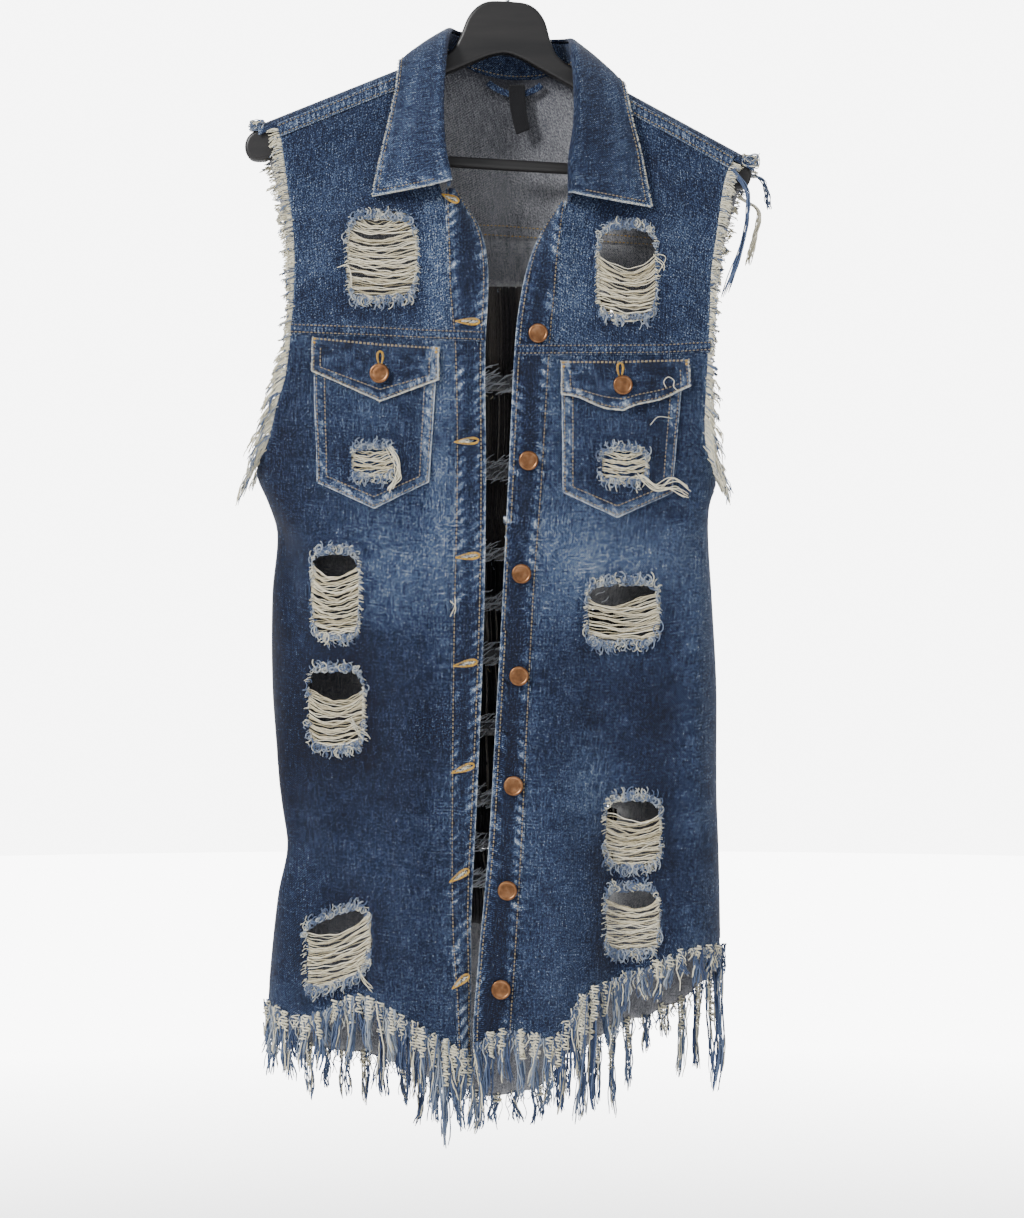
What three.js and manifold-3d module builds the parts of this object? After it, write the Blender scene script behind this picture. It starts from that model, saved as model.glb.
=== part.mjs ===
// A long sleeveless denim vest with torn, frayed edges, hung open on a flat wooden hanger.
// Sizes are in millimetres. +X points to the viewer's right, +Y away from the viewer, +Z up.
// The origin is the inside crown of the hanger's hook, where a rail would carry it.
// Heights in the tables are given as a drop below that point.

import * as THREE from "three";
import { mergeVertices } from "three/addons/utils/BufferGeometryUtils.js";
import Module from "manifold-3d";

const wasm = await Module();
wasm.setup();
const { PI, abs, acos, cos, exp, max, min, sign, sin, sqrt } = Math;

// Driving sizes
const cloth = 1.4; // one layer of denim
const doubled = 2.6; // placket, collar and flap, which are two layers
const seamGap = 0.3; // between sewn pieces
const lyingGap = 0.5; // between a panel and what lies on it
const bandThick = 1.1; // folded seam bands
const list = THREE.MathUtils.degToRad(3.4); // how far the hanger leans, right end down
const hangerSpan = 445;
const hangerThick = 14;
const armRise = 0.47; // slope of the hanger's arms
const crestDrop = 88; // where the two shoulder lines would meet, under the hook
const crestRound = 9.5; // inside radius of the cloth where it passes over an arm
const barDiameter = 10;
const wireDiameter = 3.8;
const hookRadius = 19;
const sectionPower = 3; // roundness of the garment's section, 2 is an ellipse
const buttonDiameter = 17;

const denim = { color: 0x2f4a78, roughness: 0.9, metalness: 0 };
const fadedDenim = { color: 0x4a6a9c, roughness: 0.9, metalness: 0 };
const yarn = { color: 0xd8d0bc, roughness: 1, metalness: 0 };
const blueYarn = { color: 0x6f83a8, roughness: 1, metalness: 0 };
const blackWood = { color: 0x1c1a19, roughness: 0.5, metalness: 0 };
const steel = { color: 0xb8bcc0, roughness: 0.3, metalness: 1 };
const copper = { color: 0xb06a42, roughness: 0.35, metalness: 1 };
const ribbon = { color: 0x101012, roughness: 0.6, metalness: 0 };

// Names the columns of a short table.
function table(names, rows) {
  const keys = names.split(" ");
  return rows.map((row) => Object.fromEntries(keys.map((key, i) => [key, row[i]])));
}

// The garment's side lines: real below the armholes, and where they would run above them.
const sideRows = table("drop left right", [
  [120, -300, 262],
  [250, -286, 246],
  [350, -262, 215],
  [430, -239, 190],
  [467, -226.5, 181],
  [483, -220.5, 178.5],
  [504, -211, 171],
  [530, -203.5, 169.5],
  [583, -207.8, 172.5],
  [662, -207.8, 176.7],
  [724, -203.3, 176.8],
  [762, -199.8, 177],
  [802, -194.5, 178.5],
  [847, -203, 179.6],
  [936, -211.5, 181],
  [1040, -215, 184],
]);

// How far the cloth stands off the hanger's plane, by the distance below the shoulder line.
const depthRows = table("below clear front back", [
  [0, 9.5, 0, 0],
  [15, 9.5, 0.5, 0.5],
  [40, 9.5, 3, 4],
  [80, 9, 9, 10],
  [140, 7, 20, 19],
  [200, 4, 30, 27],
  [260, 1.2, 38, 34],
  [290, 0, 41, 36],
  [450, 0, 46, 42],
  [650, 0, 48, 45],
  [950, 0, 52, 50],
]);

// Soft upright folds. Each runs from one place to another and deepens on the way down.
const foldRows = table("face xTop xEnd from until width depth", [
  [-1, 50, 60, 640, 880, 26, 13],
  [-1, 84, 92, 620, 880, 20, -13],
  [-1, -96, -100, 700, 900, 26, 7],
  [-1, -140, -142, 660, 900, 24, -9],
  [-1, 150, 156, 560, 860, 18, 5],
  [-1, -186, -190, 470, 640, 12, -4],
  [1, -120, -130, 560, 900, 30, 12],
  [1, -60, -64, 640, 900, 24, -9],
  [1, 60, 70, 600, 900, 30, 12],
  [1, 122, 128, 640, 900, 22, -8],
]);

// Armhole edges as seen from the front.
const armRows = {
  frontLeft: table("drop x", [
    [165, -209],
    [186, -202.6],
    [225, -197],
    [271, -190.5],
    [305, -189.6],
    [345, -191.4],
    [393, -196],
    [418, -203],
    [450, -211],
    [468, -219],
    [480, -221.7],
  ]),
  frontRight: table("drop x", [
    [190, 203],
    [208, 192],
    [224, 186.2],
    [243, 182.7],
    [271, 178.9],
    [303, 174],
    [363, 171.4],
    [431, 167],
    [455, 168],
    [474, 173.5],
    [488, 176.9],
  ]),
  backLeft: table("drop x", [
    [170, -222],
    [200, -217],
    [240, -211],
    [290, -207],
    [350, -205],
    [400, -207],
    [440, -213],
    [480, -221.7],
  ]),
  backRight: table("drop x", [
    [196, 212],
    [230, 203],
    [290, 191],
    [350, 183],
    [400, 179],
    [440, 176],
    [488, 176.9],
  ]),
};
const armholeFoot = { left: -480, right: -488 };

// Front opening: the seam where each placket joins its front, and the front edge.
const openingRows = {
  left: table("drop seam edge roll", [
    [228, -57.5, -53, 10],
    [240, -57.5, -45.5, 14],
    [263, -57, -30.6, 13],
    [284, -56, -23.4, 8],
    [320, -55, -20.6, 2],
    [373, -50.5, -22.8, 0],
    [484, -49, -22.3, 0],
    [608, -51.5, -24, 0],
    [757, -53, -29.8, 0],
    [868, -52.5, -35.9, 3],
    [930, -48.5, -37, 8],
    [990, -46, -36.5, 9],
  ]),
  right: table("drop seam edge roll", [
    [238, 48, 45.5, 8],
    [248, 46.4, 41, 12],
    [263, 44.2, 30.8, 14],
    [288, 41, 18.5, 9],
    [320, 38.5, 9, 3],
    [365, 34.5, 2.7, 0],
    [484, 27.5, -3.2, 0],
    [580, 20.5, -7.8, 0],
    [696, 14.8, -14.2, 0],
    [803, 10, -20.4, 0],
    [896, 4.5, -28.8, 0],
    [950, 1, -33, 0],
    [990, -1, -33.5, 0],
  ]),
};

// Raw hem lines.
const hemRows = {
  left: table("x drop", [
    [-213, 938],
    [-206, 942],
    [-185, 950],
    [-165, 944],
    [-146, 934],
    [-127, 929.6],
    [-100, 942],
    [-84, 952.5],
    [-67, 963],
    [-48, 973],
    [-36, 985],
  ]),
  right: table("x drop", [
    [-33, 972],
    [-18, 961],
    [-1, 958],
    [15, 961],
    [36, 966],
    [47, 952],
    [57, 930],
    [76, 919],
    [103, 909],
    [138, 896],
    [155, 889],
    [182, 890],
  ]),
  back: table("x drop", [
    [-215, 960],
    [-180, 985],
    [-140, 992],
    [-100, 1002],
    [-60, 1018],
    [-20, 1031],
    [20, 1026],
    [50, 994],
    [113, 960],
    [141, 947],
    [184, 915],
  ]),
};

// Torn windows. Their loose weft is left hanging under an open gap at the top of each.
const ripRows = table("name panel x drop halfWide halfTall gap slant", [
  ["rip_left_chest", "yoke_front_left", -112, 293, 30, 38, 0, 0],
  ["rip_left_pocket", "pocket_left", -119, 469, 18, 15, 6, 0],
  ["rip_left_waist", "front_left", -151, 583, 21, 39, 12, 0],
  ["rip_left_hip", "front_left", -151, 681, 24, 36, 19, 0],
  ["rip_left_thigh", "front_left", -150, 888, 28, 33, 10, 0.32],
  ["rip_right_chest", "yoke_front_right", 99.5, 305, 25.5, 42, 25, 0],
  ["rip_right_pocket", "pocket_right", 95.5, 472, 20, 16, 0, 0],
  ["rip_right_waist", "front_right", 94.5, 599, 31, 28, 11, 0],
  ["rip_right_hip", "front_right", 103.5, 788, 24.5, 32, 15, 0],
  ["rip_right_thigh", "front_right", 102, 863.5, 24, 29.5, 9, 0],
]);

// Cuts torn across the back, each sagging open between two straps.
const slitRows = table("top bottom halfWide", [
  [299, 381, 96],
  [394, 459, 104],
  [471, 537, 108],
  [548, 581, 110],
  [592, 626, 110],
  [638, 690, 108],
  [702, 755, 106],
  [767, 797, 104],
  [808, 827, 100],
  [838, 873, 96],
]);
const slitCentre = -8;

// Collar stations from the left front end, round the neck's back, to the right front end:
// the neck seam, the fold at the top of the stand, and the leaf's outer edge.
const collarRows = table("at nx ny nz cx cy cz ox oy oz", [
  [0, -53.5, -29, -234, -52, -48, -229, -120.5, -27, -239],
  [1, -62, -23.5, -205, -58, -46, -200, -115, -24, -212],
  [2, -64, -18, -170, -60, -40, -165, -109, -21, -186],
  [3, -64, -14, -136, -59, -30, -131, -103.5, -19.5, -160],
  [4, -62.5, -8, -112, -57.5, -15, -105, -99, -18, -136],
  [5, -60, 5, -105, -54, 2, -92.5, -97, -3, -117],
  [6, -50, 19, -114.5, -47, 18, -91, -88, 18.5, -127.5],
  [7, -30, 26, -123, -30, 29, -91.5, -66, 22, -143],
  [8, -4, 29, -128.5, -3, 33, -93.5, -5, 35, -154],
  [9, 22, 26, -128.5, 25, 29, -96, 58, 24, -157],
  [10, 45, 19, -124, 44, 18, -98, 84, 20, -144],
  [11, 56, 5, -116.5, 51, 2, -102, 96, -3, -135.5],
  [12, 58, -8, -124, 53, -15, -115, 101, -18.5, -158],
  [13, 58, -14, -150, 54.5, -30, -144, 107, -20.5, -183],
  [14, 57, -18, -184, 54, -40, -178, 112, -21, -204],
  [15, 53, -23.5, -218, 49.5, -46, -212, 116, -24, -226],
  [16, 48.5, -28.5, -246, 49, -49, -240, 120.5, -27, -248.5],
]);

// Value of one column at a place between rows, on a smooth curve through them.
function columnAt(rows, by, key, at) {
  const last = rows.length - 1;
  if (at <= rows[0][by]) return rows[0][key];
  if (at >= rows[last][by]) return rows[last][key];
  let i = 0;
  while (rows[i + 1][by] < at) i++;
  const slope = (j) => {
    const a = rows[max(j - 1, 0)];
    const b = rows[min(j + 1, last)];
    return (b[key] - a[key]) / (b[by] - a[by]);
  };
  const a = rows[i];
  const b = rows[i + 1];
  const step = b[by] - a[by];
  const t = (at - a[by]) / step;
  const rise = t * t * (3 - 2 * t);
  const leave = (t * t * t - 2 * t * t + t) * step * slope(i);
  const arrive = (t * t * t - t * t) * step * slope(i + 1);
  return a[key] * (1 - rise) + b[key] * rise + leave + arrive;
}

const lerp = THREE.MathUtils.lerp;
const spread = (count) => Array.from({ length: count }, (_, i) => i / (count - 1));
const ramp = (t) => THREE.MathUtils.smoothstep(t, 0, 1);

// Closed solids from three.js geometry, and back.
function solidOf(geometry, merge = 1e-4) {
  const bare = geometry.clone();
  bare.deleteAttribute("normal");
  bare.deleteAttribute("uv");
  const merged = mergeVertices(bare, merge);
  return new wasm.Manifold(
    new wasm.Mesh({
      numProp: 3,
      vertProperties: merged.attributes.position.array,
      triVerts: new Uint32Array(merged.index.array),
    }),
  );
}

const largestBody = (solid) => solid.decompose().reduce((a, b) => (b.volume() > a.volume() ? b : a));

// A cut leaves slivers thinner than a hair, so the points are merged and the largest body kept.
function geometryOf(solid) {
  const unmerged = meshGeometry(largestBody(solid));
  return meshGeometry(largestBody(solidOf(unmerged, 1e-3)));
}

function meshGeometry(solid) {
  const mesh = solid.getMesh();
  const made = new THREE.BufferGeometry();
  made.setAttribute("position", new THREE.BufferAttribute(mesh.vertProperties, 3));
  made.setIndex(new THREE.BufferAttribute(mesh.triVerts, 1));
  return made;
}

// Unit normals of a grid of points, from the cross product of its two directions.
function gridNormals(grid) {
  const rows = grid.length;
  const columns = grid[0].length;
  return grid.map((row, r) =>
    row.map((_, c) => {
      const down = grid[min(r + 1, rows - 1)][c].clone().sub(grid[max(r - 1, 0)][c]);
      const across = row[min(c + 1, columns - 1)].clone().sub(row[max(c - 1, 0)]);
      return across.cross(down).normalize();
    }),
  );
}

// A closed wall between two offsets from a grid. Positive offsets lie on the outward side.
function wall(grid, outward, low, high) {
  const rows = grid.length;
  const columns = grid[0].length;
  const normals = gridNormals(grid);
  const turn = outward(normals[rows >> 1][columns >> 1]) ? 1 : -1;
  const points = [];
  for (const offset of [low, high])
    grid.forEach((row, r) =>
      row.forEach((p, c) => {
        const lift = typeof offset === "function" ? offset(r, c) : offset;
        points.push(...p.clone().addScaledVector(normals[r][c], turn * lift));
      }),
    );
  const at = (side, r, c) => side * rows * columns + r * columns + c;
  const faces = [];
  const quad = (a, b, c, d) => faces.push(a, b, c, a, c, d);
  for (let r = 0; r < rows - 1; r++)
    for (let c = 0; c < columns - 1; c++) {
      quad(at(1, r, c), at(1, r, c + 1), at(1, r + 1, c + 1), at(1, r + 1, c));
      quad(at(0, r, c), at(0, r + 1, c), at(0, r + 1, c + 1), at(0, r, c + 1));
    }
  for (let c = 0; c < columns - 1; c++) {
    quad(at(0, 0, c), at(0, 0, c + 1), at(1, 0, c + 1), at(1, 0, c));
    quad(at(1, rows - 1, c), at(1, rows - 1, c + 1), at(0, rows - 1, c + 1), at(0, rows - 1, c));
  }
  for (let r = 0; r < rows - 1; r++) {
    quad(at(1, r, 0), at(1, r + 1, 0), at(0, r + 1, 0), at(0, r, 0));
    quad(at(0, r, columns - 1), at(0, r + 1, columns - 1), at(1, r + 1, columns - 1), at(1, r, columns - 1));
  }
  if (turn < 0) faces.reverse();
  const made = new THREE.BufferGeometry();
  made.setAttribute("position", new THREE.Float32BufferAttribute(points, 3));
  made.setIndex(faces);
  return made;
}

const facesFront = (n) => n.y < 0;
const facesBack = (n) => n.y > 0;
const facesBackOrUp = (n) => n.y > 0 || n.z > 0;
const facesInward = (n) => n.y > 0;

// A prism with its outline in the XZ plane, reaching from one depth to another.
function prism(outline, near, far) {
  const shape = new THREE.Shape(outline.map(([x, z]) => new THREE.Vector2(x, z)));
  const made = new THREE.ExtrudeGeometry(shape, { depth: far - near, bevelEnabled: false });
  return made.rotateX(PI / 2).translate(0, far, 0);
}

// Place along the hanger's own level line of a point under the leaning hanger.
function alongHanger(x) {
  const lean = crestDrop * sin(list);
  return x > -lean
    ? (x + lean) / (cos(list) - armRise * sin(list))
    : (x + lean) / (cos(list) + armRise * sin(list));
}

// Height of the shoulder line's crest, inside the cloth.
function crestZ(x, soften = 0) {
  const along = alongHanger(x);
  const out = sqrt(along * along + soften * soften);
  return -along * sin(list) - (crestDrop + armRise * out) * cos(list);
}

// The garment's section at one height: the angle is 0 at the right side and PI at the left.
function sectionAngle(x, z) {
  const left = columnAt(sideRows, "drop", "left", -z);
  const right = columnAt(sideRows, "drop", "right", -z);
  const share = THREE.MathUtils.clamp((2 * x - left - right) / (right - left), -1, 1);
  return acos(sign(share) * abs(share) ** (sectionPower / 2));
}

function foldDepth(face, x, z) {
  return foldRows
    .filter((fold) => fold.face === face)
    .reduce((sum, fold) => {
      const down = (-z - fold.from) / (fold.until - fold.from);
      const middle = lerp(fold.xTop, fold.xEnd, THREE.MathUtils.clamp(down, 0, 1));
      return sum + fold.depth * ramp(down) * exp(-(((x - middle) / fold.width) ** 2));
    }, 0);
}

function bodyPoint(angle, z, face) {
  const left = columnAt(sideRows, "drop", "left", -z);
  const right = columnAt(sideRows, "drop", "right", -z);
  const c = cos(angle);
  const x = (left + right) / 2 + ((right - left) / 2) * sign(c) * abs(c) ** (2 / sectionPower);
  const full = abs(sin(angle)) ** (2 / sectionPower);
  const below = max(crestZ(x, 20) - z, 0);
  const key = face < 0 ? "front" : "back";
  let out = columnAt(depthRows, "below", "clear", below);
  out += columnAt(depthRows, "below", key, below) * full;
  out += foldDepth(face, x, z) * full;
  if (face > 0) out += neckBulge(x, below);
  return new THREE.Vector3(x, face * out, z);
}

// The collar's ring pushes the top of the back away from the hanger.
function neckBulge(x, below) {
  return 22 * exp(-(((x + 4) / 55) ** 2)) * exp(-below / 90) * (1 - exp(-below / 10));
}

const frontPoint = (x, z) => bodyPoint(sectionAngle(x, z), z, -1);
const backPoint = (x, z) => bodyPoint(sectionAngle(x, z), z, 1);

// Points evenly spaced along the cloth at one height, between two places in the front view.
function sectionRow(z, face, xFrom, xTo, count) {
  const steps = 32;
  const from = sectionAngle(xFrom, z);
  const to = sectionAngle(xTo, z);
  const line = spread(steps + 1).map((t) => bodyPoint(lerp(from, to, t), z, face));
  const run = [0];
  for (let i = 1; i <= steps; i++) run.push(run[i - 1] + line[i].distanceTo(line[i - 1]));
  return spread(count).map((t) => {
    const want = t * run[steps];
    let i = 0;
    while (i < steps - 1 && run[i + 1] < want) i++;
    return line[i].clone().lerp(line[i + 1], (want - run[i]) / (run[i + 1] - run[i]));
  });
}

// A panel's grid. Its four edges are functions: two of height, and two of the place across.
function panelGrid({ face, xFrom, xTo, top, bottom, columns, rows }) {
  const middleTop = top((xFrom(-450) + xTo(-450)) / 2);
  const middleBottom = bottom((xFrom(-450) + xTo(-450)) / 2);
  return spread(rows).map((r) =>
    spread(columns).map((_, c) => {
      const rough = lerp(middleTop, middleBottom, r);
      const first = sectionRow(rough, face, xFrom(rough), xTo(rough), columns)[c];
      const z = lerp(top(first.x), bottom(first.x), r);
      return sectionRow(z, face, xFrom(z), xTo(z), columns)[c];
    }),
  );
}

// Boolean helpers on geometries
const cutBy = (geometry, ...cutters) =>
  cutters.reduce((left, cutter) => left.subtract(solidOf(cutter)), solidOf(geometry));

const model = new THREE.Group();
function addPart(name, geometry, finish, group = model) {
  const mesh = new THREE.Mesh(geometry, new THREE.MeshStandardMaterial(finish));
  mesh.name = name;
  group.add(mesh);
  return mesh;
}

// Seam lines across the front and back
const yokeSeam = (x) => (x < -5 ? -357.5 - 0.05 * (x + 105) : -373.2 + 0.012 * x + 3 * ramp((x - 120) / 60));
const backSeam = (x) => -268 - 0.06 * x;
const shoulderSeam = (x) => crestZ(x) - crestRound - 0.4;
const hemOf = (key) => (x) => -columnAt(hemRows[key], "x", "drop", x);

const half = { left: {}, right: {} };
for (const side of ["left", "right"]) {
  const lateral = side === "left" ? -1 : 1;
  const arm = armRows[side === "left" ? "frontLeft" : "frontRight"];
  const armX = (z) => (z < armholeFoot[side] ? lateral * 400 : columnAt(arm, "drop", "x", -z));
  const opening = openingRows[side];
  const seamX = (z) => columnAt(opening, "drop", "seam", -z);
  const edgeX = (z) => columnAt(opening, "drop", "edge", -z);
  const neckX = lateral < 0 ? -64.5 : 58.5;
  const yokeInner = (z) => lerp(seamX(z) + lateral * seamGap, neckX, ramp((z + 246) / 26));
  Object.assign(half[side], { lateral, armX, seamX, edgeX, yokeInner });
}

// The front yoke and the long front under it
const frontGrids = {};
function frontPanels(side) {
  const { armX, seamX, yokeInner, lateral } = half[side];
  frontGrids["yoke_front_" + side] = panelGrid({
    face: -1,
    xFrom: yokeInner,
    xTo: armX,
    top: (x) => shoulderSeam(x),
    bottom: (x) => yokeSeam(x) + seamGap / 2,
    columns: 8,
    rows: 9,
  });
  frontGrids["front_" + side] = panelGrid({
    face: -1,
    xFrom: (z) => seamX(z) + lateral * seamGap,
    xTo: armX,
    top: (x) => yokeSeam(x) - seamGap / 2,
    bottom: hemOf(side),
    columns: 10,
    rows: 15,
  });
}

// The outline of a torn window, ragged by a few waves, with its top cut down where asked.
function ripOutline(rip, inset = 0, gap = 0) {
  const wide = rip.halfWide - inset;
  const tall = rip.halfTall - inset;
  const limit = rip.halfTall - gap - inset;
  const corners = 14;
  return Array.from({ length: corners }, (_, i) => {
    const a = (2 * PI * i) / corners;
    const wave = 1 + 0.05 * sin(3 * a + rip.drop) + 0.04 * sin(5 * a + rip.x);
    const x = wide * wave * sign(cos(a)) * abs(cos(a)) ** 0.45;
    const z = min(tall * wave * sign(sin(a)) * abs(sin(a)) ** 0.45, limit);
    return [rip.x + x, -rip.drop + z + rip.slant * x];
  });
}

// A panel with its torn windows cut, and the weft that still crosses each of them.
function tornPanel(name, geometry, finish) {
  const rips = ripRows.filter((rip) => rip.panel === name);
  const whole = solidOf(geometry);
  const cut = rips.reduce((left, rip) => left.subtract(solidOf(prism(ripOutline(rip), -100, -4))), whole);
  addPart(name, geometryOf(cut), finish);
  for (const rip of rips) {
    const weft = solidOf(prism(ripOutline(rip, seamGap, rip.gap), -100, -4));
    addPart(rip.name, geometryOf(whole.intersect(weft)), yarn);
  }
}

// A placket strip between its seam and the front edge, rolled back where the neck falls open.
function placketGrid(side, top, bottom, rows) {
  const { seamX, edgeX } = half[side];
  return spread(rows).map((r) =>
    spread(4).map((c) => {
      const z0 = lerp(top(seamX(-400)), bottom(seamX(-400)), r);
      const x = lerp(seamX(z0), edgeX(z0), c);
      const z = lerp(top(x), bottom(x), r);
      const p = frontPoint(lerp(seamX(z), edgeX(z), c), z);
      p.y += columnAt(openingRows[side], "drop", "roll", -z) * c * c;
      return p;
    }),
  );
}

function plackets(side) {
  const neckTop = (x) => (side === "left" ? -232 - 0.55 * max(x + 53, 0) : -243 - 0.5 * max(46 - x, 0));
  const upper = placketGrid(side, neckTop, (x) => yokeSeam(x) + seamGap / 2, 8);
  const lower = placketGrid(side, (x) => yokeSeam(x) - seamGap / 2, hemOf(side), 17);
  frontGrids["placket_upper_" + side] = upper;
  frontGrids["placket_lower_" + side] = lower;
  addPart("placket_upper_" + side, wall(upper, facesFront, 0, doubled), denim);
  addPart("placket_lower_" + side, wall(lower, facesFront, 0, doubled), denim);
}

// The double-stitched band over the yoke seam, from the armhole across the placket
function yokeBand(side) {
  const { armX, edgeX, seamX, lateral } = half[side];
  const seamAt = seamX(-360);
  const places = spread(11).map((t) => lerp(armX(-350) - lateral * 0.8, seamAt + lateral * 1.5, t));
  places.push(seamAt, (seamAt + edgeX(-360)) / 2, edgeX(-360) + lateral * 0.5);
  const grid = [4.5, -5].map((offset) => places.map((x) => frontPoint(x, yokeSeam(x) + offset)));
  const base = (r, c) => (c > 10 ? doubled : cloth) + lyingGap;
  const top = (r, c) => base(r, c) + bandThick;
  addPart("yoke_seam_" + side, wall(grid, facesFront, base, top), denim);
}

// Chest pocket and flap, laid on the front
const pocketShape = {
  left: {
    pocket: { x: [-171, -64], foot: [-167.5, -71], heel: -487, tip: [-118, -510] },
    flap: { x: [-171.8, -63], top: [-361.5, -371], side: [-391.5, -399.5], tip: [-113, -418] },
    ruffle: 0,
  },
  right: {
    pocket: { x: [42.6, 147], foot: [43.4, 137.2], heel: -496, tip: [90, -518] },
    flap: { x: [42, 151.5], top: [-383, -380.5], side: [-413.5, -407], tip: [95, -428] },
    ruffle: 1.4,
  },
};
const mouthDrop = 8.5; // the pocket's mouth lies this far under the flap's top edge
const pocketBase = cloth + lyingGap;
const flapBase = pocketBase + cloth + lyingGap + 0.3;
const flapThick = 2;

function pocketGrid(side) {
  const { pocket, flap } = pocketShape[side];
  return spread(7).map((r) =>
    spread(8).map((c) => {
      const x = lerp(lerp(...pocket.x, c), lerp(...pocket.foot, c), r);
      const reach = x < pocket.tip[0] ? pocket.tip[0] - pocket.foot[0] : pocket.foot[1] - pocket.tip[0];
      const foot = lerp(pocket.tip[1], pocket.heel, min(abs(x - pocket.tip[0]) / reach, 1));
      return frontPoint(x, lerp(lerp(...flap.top, c) - mouthDrop, foot, r));
    }),
  );
}

const ruffleOf = (side, r, c) => pocketShape[side].ruffle * r * r * (1 + sin(14 * c));

function flapGrid(side) {
  const { flap } = pocketShape[side];
  return spread(5).map((r) =>
    spread(10).map((c) => {
      const x = lerp(...flap.x, c);
      const reach = x < flap.tip[0] ? flap.tip[0] - flap.x[0] : flap.x[1] - flap.tip[0];
      const corner = x < flap.tip[0] ? flap.side[0] : flap.side[1];
      const low = lerp(flap.tip[1], corner, min(abs(x - flap.tip[0]) / reach, 1));
      return frontPoint(x, lerp(lerp(...flap.top, c), low + ruffleOf(side, r, c), r));
    }),
  );
}

function chestPocket(side) {
  const patch = wall(pocketGrid(side), facesFront, pocketBase, pocketBase + cloth);
  tornPanel("pocket_" + side, patch, fadedDenim);
  const lift = (r, c) => (r === 0 ? pocketBase : flapBase + 0.8 * (r / 4) ** 2 + ruffleOf(side, r / 4, c / 9));
  const flap = wall(flapGrid(side), facesFront, lift, (r, c) => lift(r, c) + flapThick);
  addPart("flap_" + side, flap, denim);
}

// The back yoke runs over both arms to the shoulder seams on the front.
function overShoulder(x, along) {
  const arc = (crestRound * PI) / 2;
  if (along < arc) {
    const a = along / crestRound;
    return new THREE.Vector3(x, crestRound * sin(a), crestZ(x) - crestRound * (1 - cos(a)));
  }
  return backPoint(x, crestZ(x) - crestRound - (along - arc));
}

const backArm = (side) => (z) => columnAt(armRows[side], "drop", "x", -z);
const shoulderSpan = [-221, 211]; // ends of the back yoke where it passes over the arms

function backYoke() {
  const steps = [-14.6, -9, -4, 0, 4, 9, 14.8];
  const downRows = 5;
  const places = spread(17);
  const grid = steps.map((along) => places.map((t) => overShoulder(lerp(...shoulderSpan, t), along)));
  for (let r = 1; r <= downRows; r++)
    grid.push(
      places.map((t) => {
        let x = lerp(...shoulderSpan, t);
        for (let pass = 0; pass < 6; pass++) {
          const z = lerp(crestZ(x) - crestRound, backSeam(x) + seamGap / 2, r / downRows);
          x = lerp(backArm("backLeft")(z), backArm("backRight")(z), t);
        }
        return backPoint(x, lerp(crestZ(x) - crestRound, backSeam(x) + seamGap / 2, r / downRows));
      }),
    );
  const neckLine = collarRows.filter((row) => row.at >= 5 && row.at <= 11).map((row) => [row.nx, row.nz + 0.2]);
  const backCut = prism([[-60, -40], ...neckLine, [56, -40]], -1, 80);
  const frontCut = prism([[-64.5, -40], [-64.5, -150], [58.5, -150], [58.5, -40]], -60, 0);
  const whole = cutBy(wall(grid, facesBackOrUp, 0, cloth), backCut, frontCut);
  frontGrids.yoke_back = grid;
  return whole;
}

// A double-stitched band along each shoulder, over the seam on the front
const bandStart = { left: -67, right: 61 };
function shoulderBand(side) {
  const { lateral, armX } = half[side];
  const grid = [-12, -14.6, -19, -23.5].map((along) => {
    let tip = armX(-200);
    for (let pass = 0; pass < 6; pass++) tip = armX(crestZ(tip) + along + 5) - lateral * 1.2;
    return spread(8).map((t) => {
      const x = lerp(bandStart[side], tip, t);
      if (along >= -14.6) return overShoulder(x, along);
      return frontPoint(x, crestZ(x) - crestRound + along + 14.6);
    });
  });
  const base = cloth + lyingGap;
  addPart("shoulder_seam_" + side, wall(grid, facesFront, base, base + bandThick), denim);
}

// The long back with its torn ladder
function slitOutline(slit) {
  const middle = (slit.top + slit.bottom) / 2;
  const rise = (slit.bottom - slit.top) / 2;
  const corners = 12;
  return Array.from({ length: corners }, (_, i) => {
    const a = (2 * PI * i) / corners;
    const x = slit.halfWide * cos(a);
    const sag = 0.35 * rise * (1 - (x / slit.halfWide) ** 2) - 0.2 * rise;
    return [slitCentre + x, -middle - sag + rise * 0.86 * sign(sin(a)) * abs(sin(a)) ** 0.8];
  });
}

function longBack() {
  const grid = panelGrid({
    face: 1,
    xFrom: (z) => (z < armholeFoot.left ? -400 : backArm("backLeft")(z)),
    xTo: (z) => (z < armholeFoot.right ? 400 : backArm("backRight")(z)),
    top: (x) => backSeam(x) - seamGap / 2,
    bottom: hemOf("back"),
    columns: 13,
    rows: 16,
  });
  frontGrids.back = grid;
  const inset = grid.map((row) =>
    row.map((p, c) => {
      const atSide = c === 0 || c === row.length - 1;
      return atSide && p.z < armholeFoot.left + 10 ? p.clone().add(new THREE.Vector3(0, seamGap + 0.1, 0)) : p;
    }),
  );
  const slits = slitRows.map((slit) => prism(slitOutline(slit), 8, 110));
  return cutBy(wall(inset, facesBack, 0, cloth), ...slits);
}

// Collar: a stand round the neck, and a leaf folded over it
const collarAt = (key, at) => {
  const v = ["x", "y", "z"].map((axis) => columnAt(collarRows, "at", key + axis, at));
  return new THREE.Vector3(...v);
};

// The leaf's way over the stand: share of the way to its edge, and its stand-off above and outside.
const leafRows = table("share rise out", [
  [0, 2.4, -0.6],
  [0, 2.8, 2.8],
  [0.07, 1, 4.6],
  [0.35, 0, 4.6],
  [0.7, 0, 2.4],
  [1, 0, 0],
]);

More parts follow.
